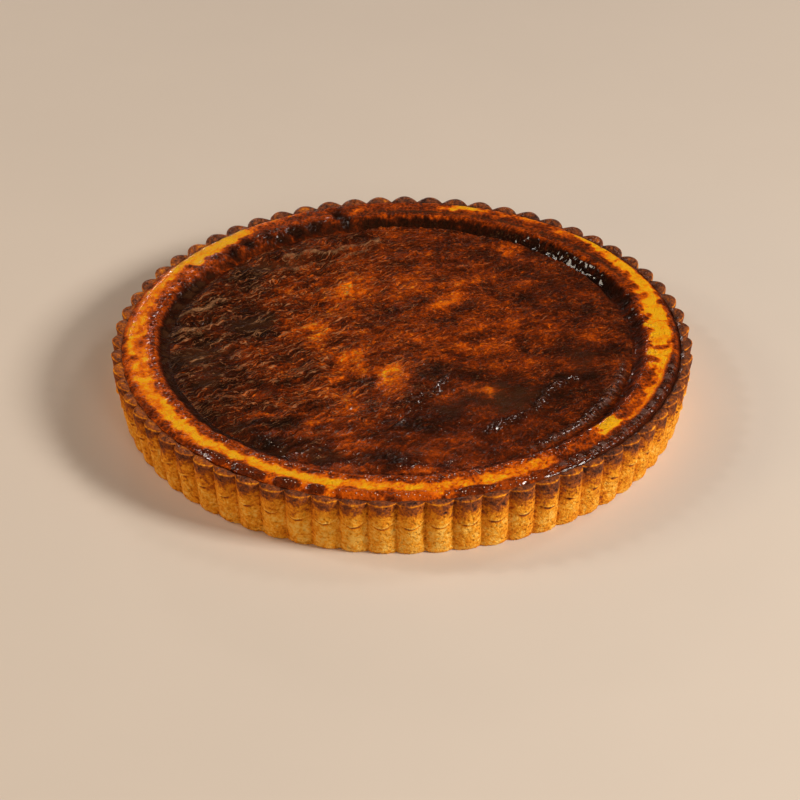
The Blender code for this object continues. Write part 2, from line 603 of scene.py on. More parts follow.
def add_bump(board: Board, shader: bpy.types.Node, height: Socket, distance: float) -> None:
    """Feed a height, whose 1 is this many metres, into the shader's normal."""
    bump = board.add("ShaderNodeBump")
    bump.inputs["Distance"].default_value = distance
    board.feed(bump.inputs["Height"], height)
    board.feed(shader.inputs["Normal"], bump.outputs["Normal"])


@dataclass(frozen=True)
class PastryFinish:
    """Baked shortcrust: golden tan below, toasted and then burnt towards the rim, with painted shade in the notches and
    under the crease and a painted lit line along the rim.
    """

    group: bpy.types.NodeTree
    name: str = "baked_shortcrust"
    stops: tuple[tuple[float, Colour], ...] = (
        (0.00, (0.95, 0.54, 0.100)),
        (0.18, (0.90, 0.370, 0.022)),
        (0.34, (0.76, 0.250, 0.008)),
        (0.50, (0.47, 0.115, 0.006)),
        (0.66, (0.250, 0.062, 0.016)),
        (0.82, (0.120, 0.034, 0.014)),
        (1.00, (0.045, 0.016, 0.010)),
    )
    grain_scale: float = 800.0
    spot_scale: float = 520.0
    relief: float = 0.0015
    specular: float = 0.13
    coat_roughness: float = 0.16
    coat_ior: float = 1.33

    def make(self) -> bpy.types.Material:
        """Build the material, which reads the browning, with its painted shade and light, and the glaze stored on the
        crust.

        Returns:
            The material.
        """
        material, board, shader = start_material(self.name)
        grain = place_grain(board, self.group, self.grain_scale, self.spot_scale).outputs
        glaze = board.attribute("glaze")
        level = board.shift(board.attribute("toast_and_shading"), grain["Mottle"], 0.80)
        level = board.shift(level, grain["Grain"], 0.90)
        level = board.sum("ADD", level, board.sum("MULTIPLY", grain["Spots"], 0.08), clamp=True)
        board.feed(shader.inputs["Base Color"], board.ramp(level, self.stops))
        dull = board.between(board.shift(glaze, grain["Mottle"], 0.7), 0.0, 1.0, 0.78, 0.26)
        board.feed(shader.inputs["Roughness"], dull)
        height = board.sum("SUBTRACT", grain["Grain"], board.sum("MULTIPLY", grain["Spots"], 0.5))
        add_bump(board, shader, height, self.relief)
        coat = board.between(board.shift(glaze, grain["Mottle"], 0.9), 0.45, 1.0, 0.0, 0.8)
        board.feed(shader.inputs["Coat Weight"], coat)
        shader.inputs["Coat Roughness"].default_value = self.coat_roughness
        shader.inputs["Coat IOR"].default_value = self.coat_ior
        shader.inputs["Specular IOR Level"].default_value = self.specular
        return material


@dataclass(frozen=True)
class CustardFinish:
    """Baked custard: amber where it stayed pale, red-brown to black where it burnt, with painted glints, painted sheen
    and painted highlights along wrinkle crests.
    """

    group: bpy.types.NodeTree
    name: str = "burnt_custard"
    stops: tuple[tuple[float, Colour], ...] = (
        (0.00, (0.82, 0.40, 0.007)),
        (0.10, (0.84, 0.280, 0.003)),
        (0.20, (0.80, 0.175, 0.0015)),
        (0.30, (0.68, 0.110, 0.0012)),
        (0.40, (0.47, 0.066, 0.0012)),
        (0.50, (0.28, 0.037, 0.0014)),
        (0.60, (0.150, 0.018, 0.0014)),
        (0.70, (0.076, 0.0095, 0.0012)),
        (0.82, (0.032, 0.0040, 0.0010)),
        (1.00, (0.008, 0.0014, 0.0007)),
    )
    smoke: Colour = (0.044, 0.015, 0.006)
    # Colour of the painted sheen, a purple-grey reflection on the ridges, seam and hem.
    painted_sheen: Colour = (0.155, 0.076, 0.060)
    # Colour of the pale folds and of the painted highlights along wrinkle crests.
    pale: Colour = (0.36, 0.165, 0.072)
    # Colour of the painted glint dots, which stand in for highlights.
    glint: Colour = (1.0, 0.80, 0.66)
    grain_scale: float = 850.0
    spot_scale: float = 780.0
    relief: float = 0.0008
    specular: float = 0.12
    specular_tint: Colour = (1.0, 0.50, 0.18)
    coat_roughness: float = 0.08
    coat_ior: float = 1.33

    def make(self) -> bpy.types.Material:
        """Build the material, which reads the levels and the flow stored on the custard.

        Returns:
            The material.
        """
        material, board, shader = start_material(self.name)
        grain = place_grain(board, self.group, self.grain_scale, self.spot_scale).outputs
        flow = board.attribute("flow", "Vector")
        streak = board.attribute("streak")
        smoke = board.attribute("smoke")
        strand = board.noise(flow, 0.50, 3.0, 0.6)
        fine = board.noise(flow, 1.5, 3.0, 0.4)
        thread = board.between(board.sum("ABSOLUTE", board.sum("SUBTRACT", strand, 0.5)), 0.0, 0.030, 1.0, 0.0)
        level = board.shift(board.attribute("burn_and_shading"), grain["Mottle"], 0.24)
        level = board.shift(level, grain["Grain"], board.sum("ADD", board.sum("MULTIPLY", streak, 1.1), 0.14))
        level = board.shift(level, strand, board.sum("MULTIPLY", streak, 0.30))
        level = board.shift(level, fine, board.sum("MULTIPLY", streak, 0.60))
        # Thin painted sheen lines along the strands: they lift the colour towards amber and then towards pale.
        painted_sheen_lines = board.sum("MULTIPLY", thread, streak)
        level = board.sum("SUBTRACT", level, board.sum("MULTIPLY", painted_sheen_lines, 0.60), clamp=True)
        colour = board.ramp(level, self.stops)
        colour = board.mixed(board.between(board.shift(smoke, grain["Mottle"], 1.2), 0.15, 0.95), colour, self.smoke)
        # Pale colour and painted highlights along the folds and wrinkle crests.
        pale_and_crest_sheen = board.shift(board.shift(board.attribute("pale_and_crest_sheen"), fine, 1.6), grain["Grain"], 0.8)
        pale_and_crest_sheen = board.sum("ADD", pale_and_crest_sheen, board.sum("MULTIPLY", painted_sheen_lines, 1.25))
        colour = board.mixed(board.between(pale_and_crest_sheen, 0.30, 1.0, 0.0, 0.85), colour, self.pale)
        # Painted sheen where the stored sheen amount is high.
        painted_sheen = board.between(board.shift(board.attribute("painted_sheen"), grain["Grain"], 0.9), 0.15, 0.75, 0.0, 0.85)
        colour = board.mixed(painted_sheen, colour, self.painted_sheen)
        # Painted highlights: pale glint dots on the small round spots, as many as the stored glint amount allows.
        painted_glint_dots = board.sum("MULTIPLY", grain["Spots"], board.attribute("painted_glint_amount"))
        colour = board.mixed(board.between(painted_glint_dots, 0.50, 0.80, 0.0, 0.95), colour, self.glint)
        board.feed(shader.inputs["Base Color"], colour)
        wet = board.attribute("wet")
        dull = board.between(board.shift(wet, grain["Grain"], 0.8), 0.0, 1.0, 0.62, 0.24)
        board.feed(shader.inputs["Roughness"], dull)
        coat = board.between(board.shift(wet, grain["Mottle"], 1.1), 0.46, 0.88)
        board.feed(shader.inputs["Coat Weight"], coat)
        height = board.sum("ADD", grain["Grain"], board.sum("MULTIPLY", painted_glint_dots, 1.2))
        height = board.sum("ADD", height, board.sum("MULTIPLY", board.sum("ADD", fine, thread), streak))
        add_bump(board, shader, height, self.relief)
        shader.inputs["Specular IOR Level"].default_value = self.specular
        shader.inputs["Specular Tint"].default_value = (*self.specular_tint, 1.0)
        shader.inputs["Coat Roughness"].default_value = self.coat_roughness
        shader.inputs["Coat IOR"].default_value = self.coat_ior
        return material


@dataclass(frozen=True)
class FloorFinish:
    """Plain pale ground."""

    name: str = "pale_ground"
    colour: Colour = (0.615, 0.530, 0.450)
    roughness: float = 0.75
    cloud_scale: float = 6.0
    cloud_gain: float = 1.08

    def make(self) -> bpy.types.Material:
        """Build the material, with a faint stone-like mottle.

        Returns:
            The material.
        """
        material, board, shader = start_material(self.name)
        cloud = board.noise(board.add("ShaderNodeTexCoord").outputs["Object"], self.cloud_scale, 4.0)
        paler = tuple(part * self.cloud_gain for part in self.colour)
        board.feed(shader.inputs["Base Color"], board.mixed(cloud, self.colour, paler))
        shader.inputs["Roughness"].default_value = self.roughness
        return material


# Pieces


@dataclass
class CrustShell:
    """The shortcrust shell: floor, leaning fluted wall with its crease, and domed rim."""

    height: float
    rim_radius: float = 0.1248
    base_radius: float = 0.1206
    rim_inner: float = 0.1198
    flutes: int = 65
    steps_per_flute: int = 24
    wall_rows: int = 44
    rim_rows: int = 9
    inner_rows: int = 2
    inner_drop: float = 6.0 * MM
    notch_at_rim_mm: float = 3.7
    notch_at_base_mm: float = 1.7
    notch_softness: float = 0.09
    crease_share: float = 0.545
    lip_mm: float = 2.1
    bite_power: float = 0.72
    sharp_angle: float = 60.0
    seed: int = 11
    grain: Grain = field(init=False)

    def __post_init__(self) -> None:
        """Draw the shell's noise."""
        self.grain = Grain(self.seed)

    def rough_out(self) -> bpy.types.Object:
        """Extrude a ring up into the wall, in over the rim and down inside, and close it.

        Returns:
            The roughed-out shell.
        """
        Bench.clear()
        steps = self.flutes * self.steps_per_flute
        bpy.ops.mesh.primitive_circle_add(vertices=steps, radius=self.base_radius, fill_type="NOTHING")
        piece = bpy.context.object
        piece.name = "crust_shell"
        bpy.ops.object.mode_set(mode="EDIT")
        bpy.ops.mesh.select_all(action="SELECT")
        lean = self.rim_radius / self.base_radius
        bpy.ops.mesh.extrude_region_move(TRANSFORM_OT_translate={"value": (0.0, 0.0, self.height)})
        bpy.ops.transform.resize(value=(lean, lean, 1.0))
        bpy.ops.mesh.extrude_region_move()
        rim = self.rim_inner / self.rim_radius
        bpy.ops.transform.resize(value=(rim, rim, 1.0))
        bpy.ops.mesh.extrude_region_move(TRANSFORM_OT_translate={"value": (0.0, 0.0, -self.inner_drop)})
        bpy.ops.mesh.edge_face_add()
        Bench.pick_edges(piece, lambda a, b: a.z + b.z < HAIR)
        bpy.ops.mesh.extrude_region_move()
        bpy.ops.transform.resize(value=(0.97, 0.97, 1.0))
        bpy.ops.mesh.edge_face_add()
        high = self.height - HAIR
        Bench.pick_edges(piece, lambda a, b: min(a.z, b.z) < HAIR and max(a.z, b.z) > high)
        bpy.ops.mesh.subdivide(number_cuts=self.wall_rows - 1)
        Bench.pick_edges(piece, lambda a, b: min(a.z, b.z) > high and abs(a.xy.length - b.xy.length) > NEAR)
        bpy.ops.mesh.subdivide(number_cuts=self.rim_rows - 1)
        low = self.height - self.inner_drop
        Bench.pick_edges(
            piece,
            lambda a, b: abs(min(a.z, b.z) - low) < HAIR and max(a.z, b.z) > high
            and max(a.xy.length, b.xy.length) < self.rim_inner + NEAR,
        )
        bpy.ops.mesh.subdivide(number_cuts=self.inner_rows - 1)
        Bench.clear()
        return piece

    @staticmethod
    def drift(azimuth: np.ndarray) -> np.ndarray:
        """How far the flutes stand off even spacing.

        Args:
            azimuth: Azimuths of evenly spaced flutes, in degrees.

        Returns:
            The offset at each, in degrees.
        """
        turn = np.radians(azimuth)
        once = 0.31 - 1.54 * np.cos(turn) + 0.16 * np.sin(turn)
        return once - 0.37 * np.cos(3.0 * turn) - 0.10 * np.sin(3.0 * turn)

    def per_flute(self, number: np.ndarray, seed: int) -> np.ndarray:
        """A number from 0 to 1 that is drawn once for each flute."""
        return np.random.default_rng(self.seed + seed).random(self.flutes)[number]

    def shape(self, rows: np.ndarray) -> tuple[np.ndarray, np.ndarray, np.ndarray]:
        """Work out the crust's form and browning from the roughed-out ring.

        Args:
            rows: Positions of the roughed-out piece.

        Returns:
            The shaped positions, the browning level with its painted shade and light, and the glaze level of each
            vertex.
        """
        x, y, z = rows.T
        radius = np.hypot(x, y)
        even = np.degrees(np.arctan2(y, x))
        phase = even * self.flutes / 360.0
        number = np.round(phase).astype(int)
        across = phase - number
        number = number % self.flutes
        soft = self.notch_softness
        full = (np.hypot(np.cos(np.pi * across), soft) - soft) / (math.hypot(1.0, soft) - soft)
        azimuth = even + self.drift(even)

        rim = z > self.height - HAIR
        plain_up = z / self.height
        wall = (radius > self.base_radius + (self.rim_radius - self.base_radius) * plain_up - HAIR) & ~rim
        under = (z < HAIR) & (radius < self.base_radius - NEAR)
        knots = (0.0, 0.08, 0.42, 0.68, 0.86, 1.0), (0.0, 0.035, 0.47, 0.64, 0.86, 1.0)
        up = np.where(wall, np.interp(plain_up, *knots), plain_up)
        z = up * self.height

        # Leaning wall with its flutes and uneven surface.
        crest = self.base_radius + (self.rim_radius - self.base_radius) * up
        depth = self.notch_at_base_mm + (self.notch_at_rim_mm - self.notch_at_base_mm) * up
        depth = depth * (0.94 + 0.12 * self.per_flute(number, 1))
        lumps = self.grain.around(azimuth, z / MM, 7.0, 0.8, 4)
        fine = self.grain.around(azimuth, z / MM, 1.5, 0.9)
        settle = ease(0.0, 0.08, up)
        bite = full**self.bite_power
        outer = crest + (-depth * (1.0 - bite) + (0.20 * lumps + 0.07 * fine) * settle) * MM

        # The crease across each flute: a lip that hangs over the lower part.
        strength = 0.45 + 0.75 * self.per_flute(number, 2)
        crease_at = self.crease_share + 0.10 * (2.0 * across) ** 2 + 0.016 * (self.per_flute(number, 3) - 0.5)
        gap = (up - crease_at - 0.008 * fine) * self.height / MM
        reach = mound(across - 0.10 * (self.per_flute(number, 4) - 0.5), 0.30)
        lip = self.lip_mm * (0.15 + 0.85 * strength * reach)
        over = ease(-0.60, 0.25, gap)
        above = np.exp(-np.maximum(gap, 0.0) / 2.6) * over
        below = np.exp(np.minimum(gap, 0.0) / 1.2) * (1.0 - over)
        # Where the painted shadow under the crease's lip falls.
        seam = reach * mound(gap + 1.0, 0.50) * (0.4 + 0.6 * strength)
        outer = outer + lip * (0.55 * above - 0.55 * below) * MM

        # Small dents, the rounded foot and the rounded shoulder.
        dented = sector(azimuth, -108.0, -42.0, 12.0) * ease(0.15, 0.35, self.per_flute(number, 5))
        side_mm = 2.0 * math.pi * RIM_MM / self.flutes
        aside = (across - 0.17) * side_mm / 0.85
        aloft = (up - 0.825) * self.height / MM / 0.5
        dent = dented * np.exp(-(aside**2) - aloft**2)
        outer = outer - 0.55 * MM * dent
        foot = np.clip(1.0 - z / (1.5 * MM), 0.0, 1.0) ** 2
        outer = outer - foot * (0.55 + 0.45 * fine + 0.30 * lumps) * MM
        shoulder = np.clip(1.0 - (self.height - z) / (0.9 * MM), 0.0, 1.0) ** 2
        outer = outer - 0.20 * MM * shoulder

        # The rim: higher at the front right, domed over each flute.
        front = sector(azimuth, -85.0, -40.0, 20.0)
        outer = outer - 0.35 * MM * front * ease(0.6, 1.0, up)
        wave = 0.22 * self.grain.around(azimuth, 0.0, 36.0, 1.0, 2) + 0.22 * (self.per_flute(number, 6) - 0.5)
        edge_z = (0.45 * front - 0.62 * (1.0 - full) - 0.42 + wave) * MM
        inward = np.clip((self.rim_radius - radius) / (self.rim_radius - self.rim_inner), 0.0, 1.0)
        rough = self.grain.around(azimuth, radius / MM, 3.0)
        dome = np.sin(np.pi * inward**0.75) * (0.30 + 0.62 * full)
        rim_z = edge_z + (dome + 0.13 * rough * ease(0.0, 0.3, inward) - 0.15 * ease(0.6, 1.0, inward)) * MM
        new_z = np.where(rim, self.height + rim_z, z + np.where(wall, ease(0.72, 1.0, up) * edge_z, 0.0))
        new_radius = np.where(rim, outer + (self.rim_inner - outer) * inward, np.where(wall, outer, radius))
        new_radius = np.where(under, radius * 0.985, new_radius)
        turn = np.radians(azimuth)
        shaped = np.column_stack((new_radius * np.cos(turn), new_radius * np.sin(turn), new_z))

        # Painted shadow under the crease's lip, a painted lit line just above it, and painted shade in the dents, all
        # added to the browning.
        creased = 0.62 * seam - 0.20 * reach * mound(gap - 0.45, 0.45) + 0.45 * dent
        wall_toast_and_shading = self.wall_toast_and_shading(azimuth, up, gap, full, lumps, fine)
        toast_and_shading = np.where(rim, self.rim_toast_and_highlight(azimuth, full, lumps, rough, inward), wall_toast_and_shading + creased)
        rear = sector(azimuth, 20.0, 160.0, 40.0)
        glaze = np.where(rim, 0.30 + 0.30 * rear + 0.40 * ease(0.1, 0.7, inward) + 0.30 * rough, 0.06)
        return shaped, toast_and_shading, glaze

    @staticmethod
    def wall_toast_and_shading(
        azimuth: np.ndarray,
        up: np.ndarray,
        gap: np.ndarray,
        full: np.ndarray,
        lumps: np.ndarray,
        fine: np.ndarray,
    ) -> np.ndarray:
        """How browned the wall is, 0 for pale gold and 1 for burnt black, with painted shade along the notches and a
        painted lit line along the top edge.

        Args:
            azimuth: Azimuths in degrees.
            up: Height as a share of the wall's.
            gap: Height over the crease in millimetres.
            full: The flute's fullness.
            lumps: Coarse noise.
            fine: Fine noise.

        Returns:
            The browning level.
        """
        right = sector(azimuth, -75.0, 15.0, 40.0)
        left = sector(azimuth, 175.0, 250.0, 30.0)
        level = 0.09 + 0.15 * ease(-0.3, 1.2, gap) + 0.08 * ease(0.62, 0.9, up) + 0.09 * left + 0.12 * right
        # Painted shade: darker along the notches between the flutes.
        level = level + 0.10 * lumps + 0.06 * fine + 0.03 * (1.0 - full) + 0.10 * (1.0 - full) ** 4
        burnt_from = 0.90 - 0.12 * full + 0.04 * lumps - 0.02 * right
        level = level + 0.31 * ease(burnt_from - 0.10, burnt_from + 0.12, up) * (0.70 + 0.30 * full)
        # Painted highlight: a pale line along the wall's top edge.
        return level - 0.46 * ease(0.982, 0.998, up)

    @staticmethod
    def rim_toast_and_highlight(
        azimuth: np.ndarray, full: np.ndarray, lumps: np.ndarray, rough: np.ndarray, inward: np.ndarray
    ) -> np.ndarray:
        """How browned the rim's top is, with a painted lit line along its outer corner.

        Args:
            azimuth: Azimuths in degrees.
            full: The flute's fullness.
            lumps: Coarse noise.
            rough: Middling noise.
            inward: Share of the way from the rim's corner to its inner edge.

        Returns:
            The browning level.
        """
        left = sector(azimuth, 120.0, 235.0, 40.0)
        level = 0.74 - 0.10 * left + 0.14 * lumps + 0.12 * rough + 0.05 * (1.0 - full)
        # Painted highlight: a pale line along the rim's outer corner.
        return level - 0.36 * (1.0 - ease(0.0, 0.11, inward)) + 0.10 * ease(0.75, 1.0, inward)

    def build(self, low: Vector, high: Vector) -> bpy.types.Object:
        """Model the shell inside a box and store its browning.

        Args:
            low: The box's lowest corner.
            high: Its highest corner, which the rim may pass a little.

        Returns:
            The shell.
        """
        piece = self.rough_out()
        shaped, toast_and_shading, glaze = self.shape(Bench.places(piece))
        shaped[:, :2] = np.clip(shaped[:, :2], (low.x, low.y), (high.x, high.y))
        Bench.place(piece, shaped)
        Bench.mark(piece, "toast_and_shading", toast_and_shading)
        Bench.mark(piece, "glaze", glaze)
        Bench.close(piece, self.sharp_angle)
        return piece

    def dress(self, piece: bpy.types.Object, finish: PastryFinish) -> None:
        """Give the shell its finish and its place in the frame.

        Args:
            piece: The shell.
            finish: Its finish.
        """
        piece.data.materials.append(finish.make())
        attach(piece, "root")
        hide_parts("crust")


@dataclass
class Places:
    """Places on the custard's top, measured in the ways its form and burning need."""

    x: np.ndarray
    y: np.ndarray
    share: np.ndarray = field(init=False)
    azimuth: np.ndarray = field(init=False)
    x_mm: np.ndarray = field(init=False)
    y_mm: np.ndarray = field(init=False)
    out_mm: np.ndarray = field(init=False)

    def __post_init__(self) -> None:
        """Work out the other measures from the plan positions."""
        self.share = np.hypot(self.x, self.y)
        self.azimuth = np.degrees(np.arctan2(self.y, self.x))
        self.x_mm, self.y_mm, self.out_mm = self.x * RIM_MM, self.y * RIM_MM, self.share * RIM_MM


@dataclass
class Zones:
    """How much each place belongs to each part of the custard's top, from 0 to 1."""

    back: np.ndarray
    left: np.ndarray
    front: np.ndarray
    right_front: np.ndarray
    crease: np.ndarray
    inner: np.ndarray
    slope: np.ndarray
    drop: np.ndarray
    skin: np.ndarray
    band: np.ndarray
    west: np.ndarray


@dataclass(frozen=True)
class TopMap:
    """Form and burning of the custard's top, as functions of the place on it."""

    height: float
    band_inner: float = 0.848
    crease: float = 0.795
    edge: float = 0.9600
    band_rise_mm: float = 0.62
    grain: Grain = Grain(3)

    ridges: tuple[Line, ...] = (
        Line(((-0.42, 0.578), (-0.333, 0.600), (-0.242, 0.615), (-0.167, 0.649), (-0.085, 0.690)), 1.4, 2.0, 0.0, 0.75),
        Line(((-0.46, 0.46), (-0.356, 0.502), (-0.242, 0.555), (-0.167, 0.589), (-0.121, 0.619)), 0.9, 1.1, 0.0, 0.6),
        Line(((-0.60, 0.55), (-0.47, 0.535), (-0.356, 0.550), (-0.242, 0.578)), -1.4, 3.2),
        Line(((-0.81, 0.174), (-0.734, 0.204), (-0.674, 0.242), (-0.630, 0.280)), 1.2, 1.5, 0.0, 0.9),
        Line(((-0.80, 0.136), (-0.734, 0.134), (-0.672, 0.155)), -3.2, 2.6, 0.6),
        Line(((-0.81, 0.066), (-0.734, 0.074), (-0.666, 0.119), (-0.62, 0.165)), 0.8, 1.3, 0.0, 0.7),
        Line(((-0.802, 0.020), (-0.742, 0.050), (-0.674, 0.066)), 0.9, 1.1, 0.0, 0.5),
        Line(((-0.78, -0.06), (-0.70, -0.03), (-0.62, 0.02)), 0.6, 1.0, 0.0, 0.3),
        Line(((-0.015, -0.388), (0.045, -0.358), (0.106, -0.304), (0.167, -0.206)), 1.5, 1.6, 1.2),
        Line(((0.28, -0.547), (0.326, -0.502), (0.386, -0.464), (0.439, -0.426)), 1.5, 1.7, 1.2),
        Line(((0.439, -0.426), (0.462, -0.373), (0.485, -0.312), (0.523, -0.259), (0.591, -0.221)), 1.5, 1.7, 1.2),
        Line(((-0.45, 0.25), (-0.36, 0.30), (-0.27, 0.38)), 0.6, 1.2, 0.0, 0.3),
        Line(((-0.62, 0.42), (-0.54, 0.47), (-0.47, 0.49)), 0.7, 1.1, 0.0, 0.35),
        Line(((-0.70, 0.30), (-0.60, 0.33), (-0.50, 0.40), (-0.42, 0.43)), 0.6, 1.1, 0.0, 0.45),
        Line(((-0.55, -0.25), (-0.44, -0.17), (-0.36, -0.13)), 0.5, 1.2, 0.2),
        Line(((-0.62, -0.36), (-0.50, -0.30), (-0.40, -0.27)), 0.4, 1.2, 0.2),
    )
    holes: tuple[Spot, ...] = (
        Spot(-0.435, 0.705, 3.2, 2.2, 30.0, 1.0),
        Spot(-0.380, 0.747, 4.4, 2.6, 10.0, 1.2),
        Spot(-0.311, 0.775, 4.2, 2.8, 10.0, 1.2),
        Spot(-0.232, 0.850, 4.2, 2.4, 100.0, 1.3),
        Spot(-0.200, 0.812, 3.6, 2.4, 90.0, 1.2),
        Spot(-0.607, 0.592, 3.2, 2.4, 60.0, 1.0),
        Spot(-0.555, 0.648, 3.2, 2.0, 20.0, 0.9),
        Spot(-0.476, 0.700, 2.4, 2.0, 0.0, 0.7),
        Spot(0.792, 0.255, 3.2, 2.2, -60.0, 0.8),
        Spot(0.800, 0.040, 2.4, 2.6, 0.0, 0.7),
        Spot(0.735, 0.385, 3.0, 2.0, -50.0, 0.8),
        Spot(0.772, 0.315, 2.6, 1.8, -60.0, 0.7),
        Spot(0.806, 0.170, 2.4, 1.8, -75.0, 0.6),
        Spot(0.815, 0.100, 2.2, 1.6, -80.0, 0.6),
        Spot(-0.775, 0.290, 3.0, 2.0, 70.0, 0.8),
        Spot(-0.762, 0.345, 2.6, 2.0, 60.0, 0.6),
    )
    orange: tuple[Spot, ...] = (
        Spot(-0.204, 0.350, 13.0, 7.0, 60.0, 0.30),
        Spot(-0.300, 0.110, 13.0, 5.0, 30.0, 0.26),
        Spot(-0.29, 0.055, 7.0, 4.0, 80.0, 0.20),
        Spot(0.174, 0.290, 12.0, 5.0, 60.0, 0.20),
        Spot(0.07, 0.36, 14.0, 6.0, 10.0, 0.14),
        Spot(0.34, 0.080, 18.0, 7.0, 5.0, 0.10),
        Spot(0.28, -0.04, 16.0, 6.0, 0.0, 0.10),
        Spot(0.06, 0.01, 4.0, 10.0, 20.0, 0.14),
        Spot(-0.40, -0.18, 8.0, 5.0, 20.0, 0.20),
        Spot(-0.204, -0.108, 12.0, 5.0, 40.0, 0.24),
        Spot(-0.03, -0.21, 9.0, 5.0, 70.0, 0.30),
        Spot(-0.17, -0.18, 20.0, 13.0, 0.0, 0.10),
        Spot(-0.25, -0.24, 8.0, 4.0, 20.0, 0.20),
        Spot(-0.28, -0.47, 10.0, 4.0, 20.0, 0.14),
        Spot(0.273, -0.30, 12.0, 5.0, -60.0, 0.20),
        Spot(-0.48, -0.45, 7.0, 3.0, 10.0, 0.22),
        Spot(0.378, 0.640, 6.0, 4.0, 0.0, 0.26),
        Spot(-0.20, -0.66, 16.0, 5.0, 5.0, 0.10),
        Spot(0.15, -0.66, 20.0, 6.0, 12.0, 0.10),
    )
    dark: tuple[Spot, ...] = (
        Spot(-0.318, -0.161, 9.5, 8.0, 0.0, 0.22),
        Spot(-0.136, -0.244, 9.0, 6.0, 0.0, 0.13),
        Spot(-0.204, 0.315, 4.0, 3.0, 0.0, 0.14),
        Spot(0.12, -0.18, 10.0, 6.0, -20.0, 0.12),
        Spot(0.25, -0.20, 10.0, 7.0, -40.0, 0.16),
        Spot(0.46, -0.32, 14.0, 9.0, 20.0, 0.12),
        Spot(0.03, -0.49, 14.0, 7.0, 0.0, 0.16),
        Spot(-0.36, -0.48, 10.0, 6.0, 40.0, 0.14),
        Spot(0.58, -0.215, 8.0, 4.0, 10.0, 0.14),
        Spot(0.10, 0.20, 9.0, 9.0, 0.0, 0.06),
        Spot(-0.50, 0.12, 12.0, 9.0, 40.0, 0.10),
        Spot(0.16, -0.42, 10.0, 8.0, 0.0, 0.12),
        Spot(-0.06, -0.68, 9.0, 5.0, 0.0, 0.14),
        Spot(-0.26, -0.66, 10.0, 4.0, 10.0, 0.12),
    )
    smoky: tuple[Spot, ...] = (
        Spot(-0.70, -0.07, 14.0, 9.0, 20.0, 0.75),
        Spot(-0.66, -0.22, 12.0, 10.0, 60.0, 0.60),
        Spot(-0.53, 0.13, 13.0, 7.0, 35.0, 0.65),
        Spot(-0.62, 0.42, 9.0, 6.0, 40.0, 0.35),
        Spot(-0.46, 0.53, 18.0, 5.0, 12.0, 0.75),
        Spot(-0.36, 0.64, 14.0, 7.0, 12.0, 0.50),
        Spot(-0.12, 0.66, 18.0, 7.0, 12.0, 0.35),
        Spot(0.35, -0.34, 20.0, 15.0, 0.0, 0.75),
        Spot(0.16, -0.40, 9.0, 9.0, 0.0, 0.55),
        Spot(0.55, 0.36, 16.0, 10.0, 0.0, 0.30),
        Spot(0.62, -0.10, 10.0, 20.0, 0.0, 0.45),
        Spot(-0.30, -0.68, 20.0, 5.0, -10.0, 0.50),
        Spot(-0.55, -0.50, 13.0, 5.0, -45.0, 0.40),
        Spot(0.05, -0.66, 16.0, 5.0, 0.0, 0.45),
    )
    pools: tuple[Spot, ...] = (
        Spot(-0.19, -0.705, 8.0, 3.2, 0.0, 1.0),
        Spot(0.06, -0.73, 12.0, 3.0, 3.0, 1.0),
        Spot(-0.43, -0.600, 15.0, 6.0, -38.0, 0.8),
        Spot(0.04, -0.40, 8.0, 3.0, 35.0, 0.6),
        Spot(0.40, -0.48, 9.0, 4.0, 35.0, 0.7),
        Spot(0.58, -0.225, 7.0, 3.5, 20.0, 0.7),
    )
    bulges: tuple[Spot, ...] = (
        Spot(-0.190, -0.750, 9.5, 3.6, -12.0, 1.0),
        Spot(0.045, -0.764, 7.0, 3.2, 5.0, 1.0),
        Spot(0.135, -0.760, 6.0, 3.0, 12.0, 0.8),
        Spot(0.245, -0.735, 7.0, 3.0, 18.0, 0.6),
        Spot(-0.345, -0.690, 6.0, 3.4, -25.0, 0.7),
    )
    lobes: tuple[tuple[float, float, float], ...] = (
        (225.8, 233.3, 0.66),
        (234.2, 242.6, 0.68),
        (243.8, 249.3, 0.70),
        (251.0, 254.8, 0.70),
        (256.5, 265.3, 0.42),
        (268.2, 276.5, 0.38),
        (281.0, 287.6, 0.64),
        (288.6, 294.8, 0.52),
        (296.0, 300.5, 0.60),
    )
    scorches: tuple[Spot, ...] = (
        Spot(0.903, 0.226, 2.2, 1.5, 80.0, 0.9),
        Spot(0.848, 0.262, 4.0, 2.2, 70.0, 0.7),
        Spot(0.838, 0.031, 4.2, 2.4, 10.0, 0.9),
        Spot(0.884, -0.075, 3.8, 1.8, 10.0, 0.8),
        Spot(0.915, -0.040, 1.6, 3.0, 0.0, 0.5),
        Spot(0.846, -0.150, 4.4, 2.6, -20.0, 0.7),
        Spot(0.860, 0.135, 2.2, 1.6, 80.0, 0.5),
        Spot(-0.888, -0.031, 2.6, 4.0, 0.0, 0.5),
        Spot(-0.911, -0.120, 2.4, 3.2, 0.0, 0.5),
        Spot(-0.800, 0.370, 3.2, 2.4, 60.0, 0.6),
        Spot(-0.740, 0.470, 3.6, 2.2, 50.0, 0.7),
        Spot(-0.690, 0.545, 3.0, 2.2, 40.0, 0.6),
    )
